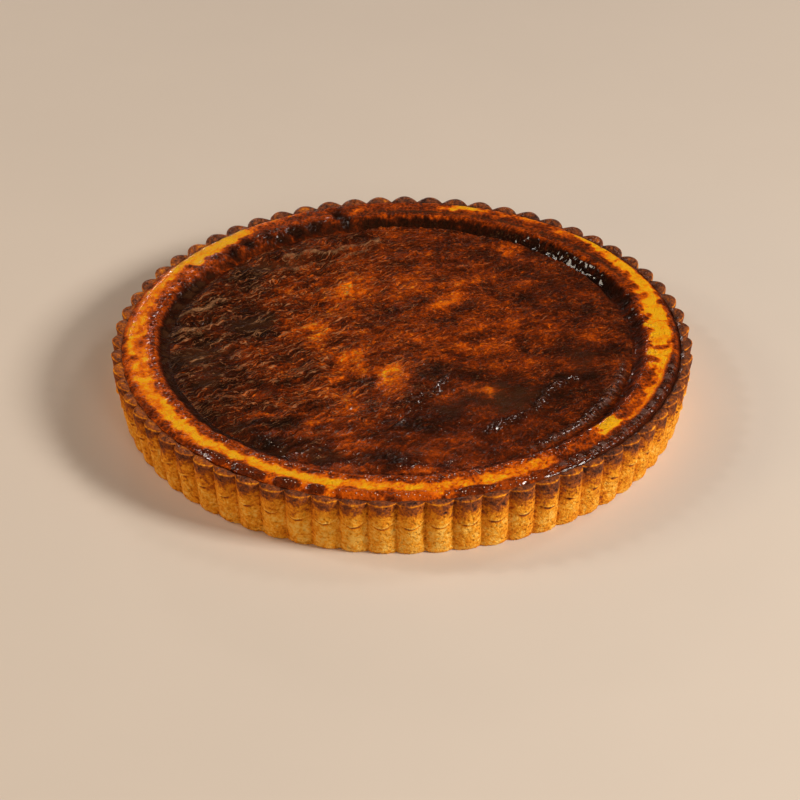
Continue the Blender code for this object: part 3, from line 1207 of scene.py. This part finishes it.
    amber: tuple[Stroke, ...] = (
        Stroke(-13.0, 6.0, 0.850, 0.922, 1.05, 0.845, 0.930),
        Stroke(5.0, 20.0, 0.845, 0.930, 1.05, 0.880, 0.940),
        Stroke(18.0, 36.0, 0.885, 0.940, 1.0, 0.905, 0.950),
        Stroke(34.0, 48.0, 0.908, 0.952, 0.95, 0.925, 0.955),
        Stroke(46.0, 60.0, 0.930, 0.953, 0.60, 0.932, 0.955),
        Stroke(48.0, 52.0, 0.905, 0.945, 0.60),
        Stroke(59.0, 66.0, 0.915, 0.950, 0.65),
        Stroke(71.0, 79.0, 0.905, 0.952, 0.95),
        Stroke(79.0, 100.0, 0.940, 0.958, 0.40),
        Stroke(99.5, 102.0, 0.885, 0.905, 0.85),
        Stroke(100.0, 122.0, 0.942, 0.958, 0.45, 0.930, 0.957),
        Stroke(118.0, 130.0, 0.935, 0.957, 0.70, 0.905, 0.955),
        Stroke(127.0, 147.0, 0.900, 0.955, 1.2, 0.870, 0.948),
        Stroke(145.0, 176.0, 0.900, 0.951, 0.95, 0.895, 0.951),
        Stroke(174.0, 203.0, 0.878, 0.950, 0.95, 0.872, 0.940),
        Stroke(202.0, 213.0, 0.870, 0.936, 1.0, 0.878, 0.926),
        Stroke(211.0, 228.0, 0.878, 0.926, 1.0, 0.876, 0.932),
        Stroke(226.0, 258.0, 0.878, 0.912, 1.2, 0.872, 0.916),
        Stroke(242.3, 243.8, 0.89, 0.957, 0.95),
        Stroke(249.0, 251.0, 0.89, 0.957, 0.95),
        Stroke(254.3, 257.5, 0.89, 0.957, 0.90),
        Stroke(257.0, 276.0, 0.868, 0.915, 0.85, 0.876, 0.925),
        Stroke(274.5, 278.5, 0.88, 0.957, 0.85),
        Stroke(277.0, 287.0, 0.872, 0.922, 0.70),
        Stroke(286.0, 291.0, 0.862, 0.925, 0.95),
        Stroke(290.0, 303.0, 0.858, 0.915, 0.72),
        Stroke(317.3, 324.5, 0.842, 0.900, 1.25),
        Stroke(324.0, 349.0, 0.893, 0.918, 0.85, 0.888, 0.925),
    )

    def zones(self, at: Places) -> Zones:
        """Where the parts of the top lie.

        Args:
            at: The places to measure.

        Returns:
            The weights, and the radii of the crease and of the ring's inner edge.
        """
        azimuth, share = at.azimuth, at.share
        back = ease(8.0, 30.0, azimuth) * ease(104.5, 98.5, azimuth)
        left = sector(azimuth, 104.0, 196.0, 16.0)
        front = sector(azimuth, 232.0, 308.0, 30.0)
        wander = self.grain.around(azimuth, 0.0, 30.0, 1.0, 2)
        shiver = self.grain.around(azimuth, 9.0, 6.0, 1.0, 2)
        inner = self.band_inner + 0.006 * wander + 0.005 * shiver * (1.0 - 0.7 * back) - 0.006 * front + 0.006 * left
        crease = self.crease - 0.013 * front + 0.006 * left + 0.010 * back + 0.005 * wander + 0.002 * shiver
        slope = ease(0.0, 1.0, (share - crease) / (inner - crease))
        drop = ease(0.932, self.edge, share + 0.003 * shiver)
        width = 0.045 - 0.022 * back
        skin = 1.0 - ease(0.0, 1.0, (share - crease + width) / width)
        return Zones(
            back=back,
            left=left,
            front=front,
            right_front=sector(azimuth, 302.0, 350.0, 12.0),
            crease=crease,
            inner=inner,
            slope=slope,
            drop=drop,
            skin=skin,
            band=slope * (1.0 - drop),
            west=sector(azimuth, 148.0, 240.0, 12.0),
        )

    def flow(self, at: Places) -> tuple[np.ndarray, np.ndarray]:
        """Coordinates along and across the skin's streaks.

        Args:
            at: The places.

        Returns:
            Both coordinates, in millimetres.
        """
        turn = np.radians(27.0 - 15.0 * ease(-0.2, 0.3, at.x))
        warp = 5.0 * self.grain.layered(at.x_mm / 16.0, at.y_mm / 16.0, 3)
        along = at.x_mm * np.cos(turn) + at.y_mm * np.sin(turn) + warp
        across = at.y_mm * np.cos(turn) - at.x_mm * np.sin(turn) + 0.7 * warp
        return along, across + 1.0 * self.grain.layered(at.x_mm / 4.0, at.y_mm / 4.0, 2)

    def forms(self, x: np.ndarray, y: np.ndarray, inside: bool) -> tuple[np.ndarray, dict[str, np.ndarray]]:
        """Height and finish of the top.

        Args:
            x: Plan positions, as fractions of the rim's radius.
            y: The same, towards the back.
            inside: True for the skin and False for the ring.

        Returns:
            Heights in metres, and the flow and levels that the material reads.
        """
        at = Places(x, y)
        zone = self.zones(at)
        z, levels = self.skin(at, zone) if inside else self.ring(at, zone)
        bulge = np.zeros_like(x)
        for spot in self.bulges:
            oval = -np.log(np.clip(spot.weight(x, y) / spot.amount, 1e-9, 1.0))
            bulge = np.maximum(bulge, spot.amount * np.sqrt(np.clip(1.0 - oval, 0.0, 1.0)))
        levels["burn_and_shading"] = toward(levels["burn_and_shading"], levels["burn_and_shading"] - 0.14, bulge)
        levels["wet"] = np.maximum(levels["wet"], 1.1 * ease(0.0, 0.3, bulge))
        return self.height + (z + 0.9 * bulge) * MM, levels

    def section(self, zone: Zones, share: np.ndarray) -> np.ndarray:
        """The top's plain section: sunken skin, crease, raised ring, drop to the crust.

        Args:
            zone: The parts of the top.
            share: Distances from the middle, as fractions of the rim's radius.

        Returns:
            Heights in millimetres over the rim.
        """
        crease_mm = 3.3 + 1.5 * zone.back - 0.6 * zone.left - 0.3 * zone.front
        skin_mm = 3.5 - 0.8 * ease(0.2, 0.76, share)
        z = -toward(crease_mm, skin_mm, zone.skin)
        edge_mm = 1.70 - 0.75 * zone.west - 0.35 * zone.front
        z = z + (self.band_rise_mm + crease_mm) * zone.slope - edge_mm * zone.drop**1.4
        return z + 0.25 * zone.band * np.cos((share - 0.89) / 0.055 * math.pi / 2.0)

    def holed(self, at: Places) -> np.ndarray:
        """How far each place lies in one of the dark holes along the slope.

        Args:
            at: The places.

        Returns:
            The weight of the deepest hole at each place.
        """
        pull_x = at.x + 0.012 * self.grain.layered(at.x_mm / 5.0, at.y_mm / 5.0 + 3.0, 2)
        pull_y = at.y + 0.012 * self.grain.layered(at.x_mm / 5.0 + 9.0, at.y_mm / 5.0, 2)
        deep = np.zeros_like(at.x)
        for hole in self.holes:
            deep = np.maximum(deep, hole.weight(pull_x, pull_y))
        return deep

    def skin(self, at: Places, zone: Zones) -> tuple[np.ndarray, dict[str, np.ndarray]]:
        """Form and burning of the sunken skin.

        Args:
            at: The places.
            zone: The parts of the top there.

        Returns:
            Heights in millimetres over the rim, and the levels.
        """
        grain, x, y = self.grain, at.x, at.y
        along, across = self.flow(at)
        left_half = ease(0.30, -0.45, x)
        calm = np.zeros_like(x)
        pull_x = x + 0.012 * grain.layered(at.x_mm / 9.0 + 5.0, at.y_mm / 9.0, 2)
        pull_y = y + 0.012 * grain.layered(at.x_mm / 9.0, at.y_mm / 9.0 + 8.0, 2)
        patch_x = x + 0.040 * grain.layered(at.x_mm / 13.0 + 3.0, at.y_mm / 13.0, 3)
        patch_y = y + 0.040 * grain.layered(at.x_mm / 13.0, at.y_mm / 13.0 + 5.0, 3)
        for spot in self.smoky:
            calm = np.maximum(calm, spot.weight(patch_x, patch_y))

        # Slow swell, long wrinkles, shorter ripples and crumple.
        swell = grain.layered(along / 24.0 + 3.0, across / 11.0, 2)
        wrinkle = grain.creased(along / 19.0 + 7.0, across / 4.4 + 2.0, 2, 0.6)
        ripple = grain.creased(along / 9.0 + 2.0, across / 2.1 + 5.0, 2)
        crumple = grain.creased(at.x_mm / 5.0 + along / 30.0, at.y_mm / 5.0, 3)
        grit = grain.layered(at.x_mm / 1.7, at.y_mm / 1.7, 2)
        rough = 1.0 - 0.7 * calm
        z = 0.85 * swell + rough * left_half * (1.50 * wrinkle + 0.55 * ripple)
        z = z + rough * (1.0 - 0.5 * left_half) * (0.80 * crumple + 0.40 * ripple) + 0.12 * grit * rough

        # Folds, slits and ridges, each in its own place.
        ragged = grain.layered(at.x_mm / 3.0, at.y_mm / 3.0, 2)
        pale_and_crest_sheen = np.zeros_like(x)
        wet = np.zeros_like(x)
        pit = np.zeros_like(x)
        painted_sheen = np.zeros_like(x)
        for line in self.ridges:
            near = line.distance_mm(pull_x, pull_y)
            body = mound(near, line.width_mm)
            z = z + line.rise_mm * body * (1.0 + 0.45 * ragged + 0.35 * (ripple - 0.5))
            wet = np.maximum(wet, line.gloss * mound(near, line.width_mm * 1.7))
            # Pale colour with a painted highlight along the crest of the pale folds.
            pale_and_crest_sheen = np.maximum(pale_and_crest_sheen, 0.9 * line.pale * mound(near, line.width_mm))
            # Painted sheen along the glossy ridges.
            painted_sheen = np.maximum(painted_sheen, 0.4 * line.gloss * mound(near, 0.5 * line.width_mm) * ease(-0.3, 0.4, ragged))
            if line.rise_mm < -2.0:
                pit = np.maximum(pit, mound(near, line.width_mm * 0.85))
        pool = np.zeros_like(x)
        for spot in self.pools:
            pool = np.maximum(pool, spot.weight(pull_x, pull_y))
        z = z + 0.40 * pool * grain.layered(at.x_mm / 3.4, at.y_mm / 3.4 + 4.0, 2)
        hem = zone.right_front * mound(at.share - 0.770, 0.016)
        pleat = grain.around(at.azimuth, at.out_mm, 2.4, 4.0, 2)
        z = zone.skin * z + hem * (1.3 + 0.65 * pleat)
        lip = sector(at.azimuth, 24.0, 101.0, 5.0) * mound(at.share - 0.788 - 0.002 * ragged, 0.0055)
        z = z + 0.55 * lip + self.section(zone, at.share) - 0.8 * self.holed(at)

        # Burning, with painted shade and light on the relief, painted sheen and painted glint dots.
        tone = grain.layered(at.x_mm / 15.0 + 2.0, at.y_mm / 12.0, 2)
        net = grain.creased(along / 13.0, across / 6.0 + 6.0, 3)
        crack = grain.creased(at.x_mm / 4.6 + 4.0, at.y_mm / 4.6, 2)
        burn_and_shading = 0.71 + 0.04 * ease(0.15, 0.45, x) + 0.19 * tone - 0.12 * (net - 0.35)
        for spot in self.orange:
            burn_and_shading = burn_and_shading - spot.weight(patch_x, patch_y) * (0.75 + 1.2 * net)
        for spot in self.dark:
            burn_and_shading = burn_and_shading + 1.8 * spot.weight(pull_x, pull_y)
        burn_and_shading = burn_and_shading + 0.15 * ease(-0.30, -0.62, x) * left_half + 0.05 * ease(0.45, 0.74, at.share)
        # Painted shade and light: the wrinkle, ripple and crumple crests lighter and their hollows darker.
        burn_and_shading = burn_and_shading - rough * (0.05 + 0.20 * left_half) * (wrinkle - 0.35) - 0.12 * rough * (ripple - 0.35)
        burn_and_shading = burn_and_shading - rough * (1.0 - 0.6 * left_half) * (0.16 * ease(0.45, 0.85, crack) + 0.10 * (crumple - 0.4))
        burn_and_shading = toward(burn_and_shading, 0.97, pit + 0.9 * zone.back * mound(at.share - zone.crease, 0.008)) + 0.05 * pool
        burn_and_shading = toward(burn_and_shading, 0.86, 0.9 * hem + 0.9 * np.clip(wet, 0.0, 1.0))
        # Painted sheen on the hem's pleats.
        painted_sheen = np.maximum(painted_sheen, 0.95 * hem * ease(-0.25, 0.55, pleat))
        smoke = np.maximum(calm, 0.35 * lip)
        # Painted highlights along the wrinkle crests on the left.
        pale_and_crest_sheen = np.maximum(pale_and_crest_sheen * (0.75 + 0.5 * ripple), left_half * ease(0.50, 0.85, wrinkle) * (0.35 + 0.5 * calm))
        wet = np.maximum(np.maximum(wet, 0.30 + 0.26 * zone.front), np.maximum(pool, pit))
        wet = np.maximum(wet, 1.1 * hem) * (1.0 - 0.55 * calm)
        south = zone.front * ease(0.35, 0.60, at.share)
        streak = (0.40 + 0.22 * left_half) * (1.0 - 0.50 * south) * (1.0 - 0.65 * calm) * (1.0 - 0.8 * pool) + 0.2 * hem
        # Where the painted glint dots go: more along the front and left edges and in the pools.
        edges = 0.30 * zone.front + 0.25 * zone.left * ease(0.6, 0.75, at.share)
        painted_glint_amount = 0.42 + edges * ease(0.35, 0.7, ripple) + 0.30 * pool
        flow = np.column_stack((along * (0.14 + 0.16 * (1.0 - left_half)), across, np.zeros_like(x)))
        levels = {"flow": flow, "burn_and_shading": burn_and_shading, "smoke": smoke, "pale_and_crest_sheen": pale_and_crest_sheen, "wet": wet}
        return z, levels | {"streak": streak, "painted_sheen": painted_sheen, "painted_glint_amount": painted_glint_amount}

    def ring(self, at: Places, zone: Zones) -> tuple[np.ndarray, dict[str, np.ndarray]]:
        """Form and burning of the raised ring.

        Args:
            at: The places.
            zone: The parts of the top there.

        Returns:
            Heights in millimetres over the rim, and the levels.
        """
        grain, azimuth, share, out = self.grain, at.azimuth, at.share, at.out_mm
        slope, back = zone.slope, zone.back
        hump = np.sin(np.pi * np.clip(slope, 0.0, 1.0))
        lump = grain.around(azimuth, out, 5.0, 1.0, 3, True)
        bead = grain.around(azimuth, out + 31.0, 2.4, 1.0, 2, True)
        streak = grain.around(azimuth, out, 1.6, 3.0)
        runs = grain.around(azimuth, out, 6.5, 4.0, 3)
        z = self.section(zone, share)

        # Lumps and beads on the edges, holes in the slope, runs down the back.
        inner_edge = mound(share - zone.inner - 0.004, 0.024)
        outer_edge = mound(share - 0.938, 0.013)
        z = z + (1.1 * (lump - 0.4) * (hump + 0.4 * inner_edge)) * (1.0 - 0.80 * back**2) * slope**0.3
        z = z + (0.55 * bead + 0.20 * streak) * (inner_edge + 0.7 * outer_edge) * slope * (1.0 - 0.5 * back)
        z = z + 0.16 * grain.around(azimuth, out + 60.0, 4.5, 1.4) * zone.band
        z = z + back * hump * (0.30 * runs + 0.80 * grain.around(azimuth, out + 50.0, 4.5, 0.8, 2))
        hole = self.holed(at)
        z = z - 1.5 * hole * slope**0.4

        # Lobes along the front; seam, thread and cross wrinkles at the right.
        lobe, lobe_burn = np.zeros_like(share), np.zeros_like(share)
        for start, end, level in self.lobes:
            away = (azimuth - (start + end) / 2.0 + 0.5 * streak + 180.0) % 360.0 - 180.0
            oval = np.hypot(away * 2.0 / (end - start), (share - 0.9395) / 0.0225)
            body = 1.0 - ease(0.84, 1.08, oval)
            lobe_burn = np.where(body > lobe, level, lobe_burn)
            lobe = np.maximum(lobe, body)
            z = z + 0.60 * np.sqrt(np.clip(1.0 - oval**2, 0.0, 1.0))
        pleat = grain.around(azimuth, out, 2.2, 5.0, 2)
        seam = sector(azimuth, 302.0, 351.0, 8.0) * mound(share - 0.932, 0.015)
        z = z + seam * (0.70 + 0.60 * pleat)
        thread = (0.4 + 0.6 * sector(azimuth, 300.0, 352.0, 6.0)) * mound(share - 0.9505 - 0.001 * runs, 0.0035)
        z = z + 0.55 * thread

        # Burning, with painted sheen on the seam and painted glint dots along the margins.
        tone = grain.around(azimuth, out, 11.0, 0.8, 4)
        fray = 0.90 * grain.around(azimuth, out + 20.0, 6.5, 1.0, 2) + 0.30 * grain.around(azimuth, out, 3.2, 1.0, 1)
        west = zone.west
        warm = np.maximum(west, sector(azimuth, 236.0, 300.0, 12.0))
        amber = np.zeros_like(share)
        for stroke in self.amber:
            amber = np.maximum(amber, stroke.weight(share, azimuth, fray, 0.010 + 0.004 * warm))
        scorch = sum(spot.weight(at.x, at.y) for spot in self.scorches)
        amber = amber * (1.0 - 0.85 * ease(0.25, 0.60, scorch + 0.20 * bead))
        freckle = ease(0.50, 0.75, grain.around(azimuth, out + 12.0, 4.0, 1.0, 2, True)) * ease(1.05, 0.6, amber)
        blot = grain.around(azimuth, out + 40.0, 6.0, 0.7, 3)
        band = 0.60 - 0.03 * warm + 0.15 * tone + 0.06 * streak - 0.40 * (bead - 0.35) + 0.16 * blot
        sunk = 0.76 + 0.12 * west + 0.12 * tone + 0.14 * west * ease(0.878, 0.858, share)
        sunk = sunk - (0.40 - 0.15 * west) * (lump - 0.35) - 0.20 * (bead - 0.35)
        burn_and_shading = toward(sunk, band, ease(0.45, 1.0, slope))
        rust = sector(azimuth, 152.0, 206.0, 8.0)
        core = 0.04 + 0.12 * rust + 0.09 * tone + (0.12 + 0.20 * west) * blot - 0.14 * (bead - 0.35)
        burn_and_shading = toward(burn_and_shading, core, amber * (1.0 - 0.60 * freckle))
        burn_and_shading = toward(burn_and_shading, lobe_burn + 0.10 * blot - 0.12 * (bead - 0.35), 0.95 * lobe)
        burn_and_shading = toward(burn_and_shading, 0.84 + 0.10 * streak, 0.95 * seam)
        burn_and_shading = toward(burn_and_shading, 0.86, ease(0.945, 0.957, share) * sector(azimuth, 300.0, 375.0, 8.0))
        trench = back * ease(0.95, 0.72, slope + 0.30 * (lump - 0.35) + 0.12 * runs)
        charred = ease(0.30, 0.80, back + 0.5 * (lump - 0.35)) * trench
        burn_and_shading = toward(burn_and_shading, 1.0 - 0.30 * ease(0.20, 0.80, blot) - 0.12 * ease(0.3, 0.8, bead), charred)
        burn_and_shading = toward(burn_and_shading, 0.98, 1.4 * hole)
        ledge = sector(azimuth, 24.0, 100.0, 5.0) * mound(share - 0.872, 0.014)
        sooty = (0.35 * zone.left + 0.50 * west) * ease(0.75, 0.35, slope) * ease(0.6, 0.2, lump)
        smoke = 0.65 * ledge * (1.0 - amber) + sooty
        wet = 0.48 + 0.30 * inner_edge + 0.20 * lobe + 0.25 * outer_edge + 0.5 * seam
        gleam = np.maximum(sector(azimuth, 28.0, 67.0, 6.0), 0.30)
        wet = np.maximum(wet * (1.0 - 0.5 * back), trench * gleam + 0.25 * hole)
        wet = np.maximum(wet, 0.95 * thread) * (1.0 - 0.5 * smoke)
        # Painted sheen on the seam's pleats.
        painted_sheen = 0.95 * seam * ease(-0.25, 0.55, pleat)
        margin = np.clip(inner_edge + outer_edge, 0.0, 1.0)
        # Where the painted glint dots go: along the ring's margins, most at the front.
        painted_glint_amount = 0.42 + (0.20 + 0.75 * zone.front * ease(0.15, 0.6, bead)) * margin * (1.0 - 0.6 * back)
        turn = np.radians(azimuth)
        flow = np.column_stack((RIM_MM * np.cos(turn), RIM_MM * np.sin(turn), 1.3 * out))
        levels = {"flow": flow, "burn_and_shading": burn_and_shading, "smoke": smoke, "pale_and_crest_sheen": np.zeros_like(share), "wet": wet}
        levels |= {"painted_sheen": painted_sheen, "painted_glint_amount": painted_glint_amount}
        return z, levels | {"streak": 0.14 + 0.35 * seam - 0.08 * np.clip(amber, 0.0, 1.0)}


@dataclass
class Custard:
    """The custard: the ring with the filling under it, and the skin in the middle."""

    top: TopMap
    high: float
    floor: float = 4.3 * MM
    floor_radius: float = 0.1139
    ring_steps: int = 1440
    ring_rows: int = 60
    ring_inner: float = 0.776
    skin_cells: int = 300
    skin_radius: float = 0.812
    skirt: float = 8.0 * MM
    inner_wall: float = 7.0 * MM
    tuck_mm: float = 0.5
    sharp_angle: float = 60.0

    def build_ring(self) -> bpy.types.Object:
        """Model the raised ring, in one with the filling's side and underside.

        Returns:
            The ring.
        """
        Bench.clear()
        edge = self.top.edge * RIM_RADIUS
        middle = self.top.height
        bpy.ops.mesh.primitive_circle_add(
            vertices=self.ring_steps, radius=edge, fill_type="NOTHING", location=(0.0, 0.0, middle)
        )
        piece = bpy.context.object
        piece.name = "custard_ring"
        bpy.ops.object.transform_apply(location=True, rotation=False, scale=False)
        bpy.ops.object.mode_set(mode="EDIT")
        bpy.ops.mesh.select_all(action="SELECT")
        bpy.ops.mesh.extrude_region_move()
        inward = self.ring_inner / self.top.edge
        bpy.ops.transform.resize(value=(inward, inward, 1.0), center_override=(0.0, 0.0, middle))
        bpy.ops.mesh.extrude_region_move(TRANSFORM_OT_translate={"value": (0.0, 0.0, -self.inner_wall)})
        bpy.ops.mesh.edge_face_add()
        Bench.pick_edges(
            piece, lambda a, b: abs(a.z + b.z - 2 * middle) < HAIR and min(a.xy.length, b.xy.length) > edge - HAIR
        )
        bpy.ops.mesh.extrude_region_move(TRANSFORM_OT_translate={"value": (0.0, 0.0, self.floor - middle)})
        shrink = self.floor_radius / edge
        bpy.ops.transform.resize(value=(shrink, shrink, 1.0), center_override=(0.0, 0.0, self.floor))
        bpy.ops.mesh.edge_face_add()
        Bench.pick_edges(
            piece, lambda a, b: min(a.z, b.z) > middle - HAIR and abs(a.xy.length - b.xy.length) > 0.01
        )
        bpy.ops.mesh.subdivide(number_cuts=self.ring_rows - 1)
        Bench.clear()
        self.press(piece, inside=False)
        Bench.close(piece, self.sharp_angle)
        return piece

    def build_skin(self) -> bpy.types.Object:
        """Model the burnt skin: a square grid pressed round, given its relief and a thickness.

        Returns:
            The skin.
        """
        Bench.clear()
        cells = self.skin_cells
        bpy.ops.mesh.primitive_grid_add(x_subdivisions=cells, y_subdivisions=cells, size=2.0)
        piece = bpy.context.object
        piece.name = "burnt_skin"
        a, b = Bench.places(piece)[:, :2].T
        wide = np.abs(a) >= np.abs(b)
        longer = np.where(wide, a, b)
        turn = math.pi / 4.0 * np.where(wide, b, a) / np.where(np.abs(longer) < 1e-9, 1.0, longer)
        reach = longer * self.skin_radius * RIM_RADIUS
        x = np.where(wide, reach * np.cos(turn), reach * np.sin(turn))
        y = np.where(wide, reach * np.sin(turn), reach * np.cos(turn))
        Bench.place(piece, np.column_stack((x, y, np.full_like(x, self.top.height))))
        bpy.ops.object.mode_set(mode="EDIT")
        bpy.ops.mesh.select_all(action="DESELECT")
        bpy.ops.mesh.select_mode(type="VERT")
        bpy.ops.mesh.select_non_manifold()
        bpy.ops.mesh.extrude_region_move(TRANSFORM_OT_translate={"value": (0.0, 0.0, -self.skirt)})
        bpy.ops.mesh.edge_face_add()
        Bench.clear()
        self.press(piece, inside=True)
        Bench.close(piece, self.sharp_angle)
        return piece

    def press(self, piece: bpy.types.Object, inside: bool) -> None:
        """Give a flat-topped piece the custard's relief and store its burning.

        Args:
            piece: The roughed-out piece, its top at the rim's height.
            inside: True for the skin, whose outer edge tucks under the ring.
        """
        rows = Bench.places(piece)
        x, y, z = rows.T
        on_top = z > self.top.height - HAIR
        share = np.hypot(x, y) / RIM_RADIUS
        heights, levels = self.top.forms(x / RIM_RADIUS, y / RIM_RADIUS, inside)
        seam = self.top.zones(Places(x / RIM_RADIUS, y / RIM_RADIUS)).crease - 0.002
        tuck = ease(0.0, 0.008, share - seam) if inside else ease(0.0, 0.008, seam - share)
        heights = np.minimum(heights - tuck * self.tuck_mm * MM, self.high)
        rows[:, 2] = np.where(on_top, heights, z)
        Bench.place(piece, rows)
        for name, values in levels.items():
            Bench.mark(piece, name, values)

    def dress(self, piece: bpy.types.Object, material: bpy.types.Material) -> None:
        """Give a piece its finish and its place in the frame.

        Args:
            piece: The piece.
            material: Its material.
        """
        piece.data.materials.append(material)
        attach(piece, "root")
        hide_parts("custard")


class LightKind(Enum):
    """What each studio light is for."""

    KEY = "key"
    WINDOW = "window"
    PANEL = "panel"
    FILL = "fill"
    FRONT = "front"
    BOUNCE = "bounce"
    GLINT = "glint"


@dataclass(frozen=True)
class Lamp:
    """A soft rectangular light that faces the tart."""

    kind: LightKind
    azimuth: float
    elevation: float
    distance: float
    width: float
    depth: float
    power: float
    colour: Colour

    def build(self) -> bpy.types.Object:
        """Add the light, turned towards the origin.

        Returns:
            The light.
        """
        data = bpy.data.lights.new(self.kind.value, "AREA")
        data.shape = "RECTANGLE"
        data.size = self.width
        data.size_y = self.depth
        data.energy = self.power
        data.color = self.colour
        lamp = bpy.data.objects.new(self.kind.value, data)
        bpy.context.scene.collection.objects.link(lamp)
        turn, lift = math.radians(self.azimuth), math.radians(self.elevation)
        away = Vector((math.cos(turn) * math.cos(lift), math.sin(turn) * math.cos(lift), math.sin(lift)))
        lamp.location = away * self.distance
        lamp.rotation_euler = away.to_track_quat("Z", "Y").to_euler()
        return lamp


@dataclass(frozen=True)
class Studio:
    """Pale ground, soft lights and the camera."""

    lamps: tuple[Lamp, ...] = (
        Lamp(LightKind.KEY, -22.0, 34.0, 2.0, 0.50, 0.50, 42.0, (1.0, 0.94, 0.86)),
        Lamp(LightKind.WINDOW, 163.0, 48.0, 1.5, 0.18, 0.18, 3.0, (1.0, 0.96, 0.94)),
        Lamp(LightKind.PANEL, 32.0, 47.0, 1.5, 0.24, 0.22, 2.6, (1.0, 0.90, 0.86)),
        Lamp(LightKind.FILL, 172.0, 34.0, 1.5, 0.30, 0.30, 4.0, (1.0, 0.88, 0.72)),
        Lamp(LightKind.FRONT, -74.0, 30.0, 1.5, 0.30, 0.30, 3.4, (1.0, 0.94, 0.84)),
        Lamp(LightKind.BOUNCE, -158.0, 12.0, 1.5, 0.60, 0.30, 5.2, (1.0, 0.60, 0.20)),
        Lamp(LightKind.GLINT, 104.0, 17.0, 1.5, 0.16, 0.10, 1.2, (1.0, 0.88, 0.82)),
    )
    sky: Colour = (1.0, 0.88, 0.74)
    sky_strength: float = 0.04
    lens: float = 133.31
    elevation: float = 33.34
    distance: float = 10.254
    roll: float = -0.35
    aim: Point = (-0.0075, -0.0606)

    def build_floor(self) -> bpy.types.Object:
        """Lay the pale ground, which is not part of the tart.

        Returns:
            The ground.
        """
        Bench.clear()
        bpy.ops.mesh.primitive_plane_add(size=12.0)
        floor = bpy.context.object
        floor.name = "ground"
        floor.data.materials.append(FloorFinish().make())
        floor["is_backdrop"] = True
        return floor

    def build_camera(self) -> bpy.types.Object:
        """Set up the camera, a little rolled.

        Returns:
            The camera.
        """
        data = bpy.data.cameras.new("camera")
        data.lens = self.lens
        data.sensor_width = 36.0
        data.clip_end = 50.0
        camera = bpy.data.objects.new("camera", data)
        bpy.context.scene.collection.objects.link(camera)
        lift, roll = math.radians(self.elevation), math.radians(self.roll)
        back = Vector((0.0, -math.cos(lift), math.sin(lift)))
        up = Vector((0.0, math.sin(lift), math.cos(lift)))
        right = Vector((1.0, 0.0, 0.0))
        rolled_right = right * math.cos(roll) + up * math.sin(roll)
        rolled_up = up * math.cos(roll) - right * math.sin(roll)
        aim = Vector((self.aim[0], self.aim[1], 0.0)) * RIM_RADIUS
        place = Matrix((rolled_right, rolled_up, back)).transposed().to_4x4()
        place.translation = aim + back * self.distance * RIM_RADIUS
        camera.matrix_world = place
        bpy.context.scene.camera = camera
        return camera

    def build(self) -> None:
        """Set up ground, world, lights and camera."""
        self.build_floor()
        self.build_camera()
        for lamp in self.lamps:
            lamp.build()
        world = bpy.data.worlds.new("studio")
        world.use_nodes = True
        background = world.node_tree.nodes["Background"]
        background.inputs["Color"].default_value = (*self.sky, 1.0)
        background.inputs["Strength"].default_value = self.sky_strength
        bpy.context.scene.world = world
        bpy.context.scene.view_settings.view_transform = "Standard"


def main() -> None:
    """Build the tart's pieces in order."""
    logging.basicConfig(level=logging.INFO, format="%(message)s")
    cad_low, cad_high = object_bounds()
    crust_low, crust_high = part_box("crust")
    group = make_grain_group()

    shell = CrustShell(height=crust_high.z)
    crust = shell.build(crust_low, crust_high)
    shell.dress(crust, PastryFinish(group))
    LOG.info("crust shell: %d vertices", len(crust.data.vertices))

    custard = Custard(top=TopMap(height=crust_high.z), high=cad_high.z)
    finish = CustardFinish(group).make()
    for piece in (custard.build_ring(), custard.build_skin()):
        custard.dress(piece, finish)
        LOG.info("%s: %d vertices", piece.name, len(piece.data.vertices))

    Studio().build()


if __name__ == "__main__":
    main()
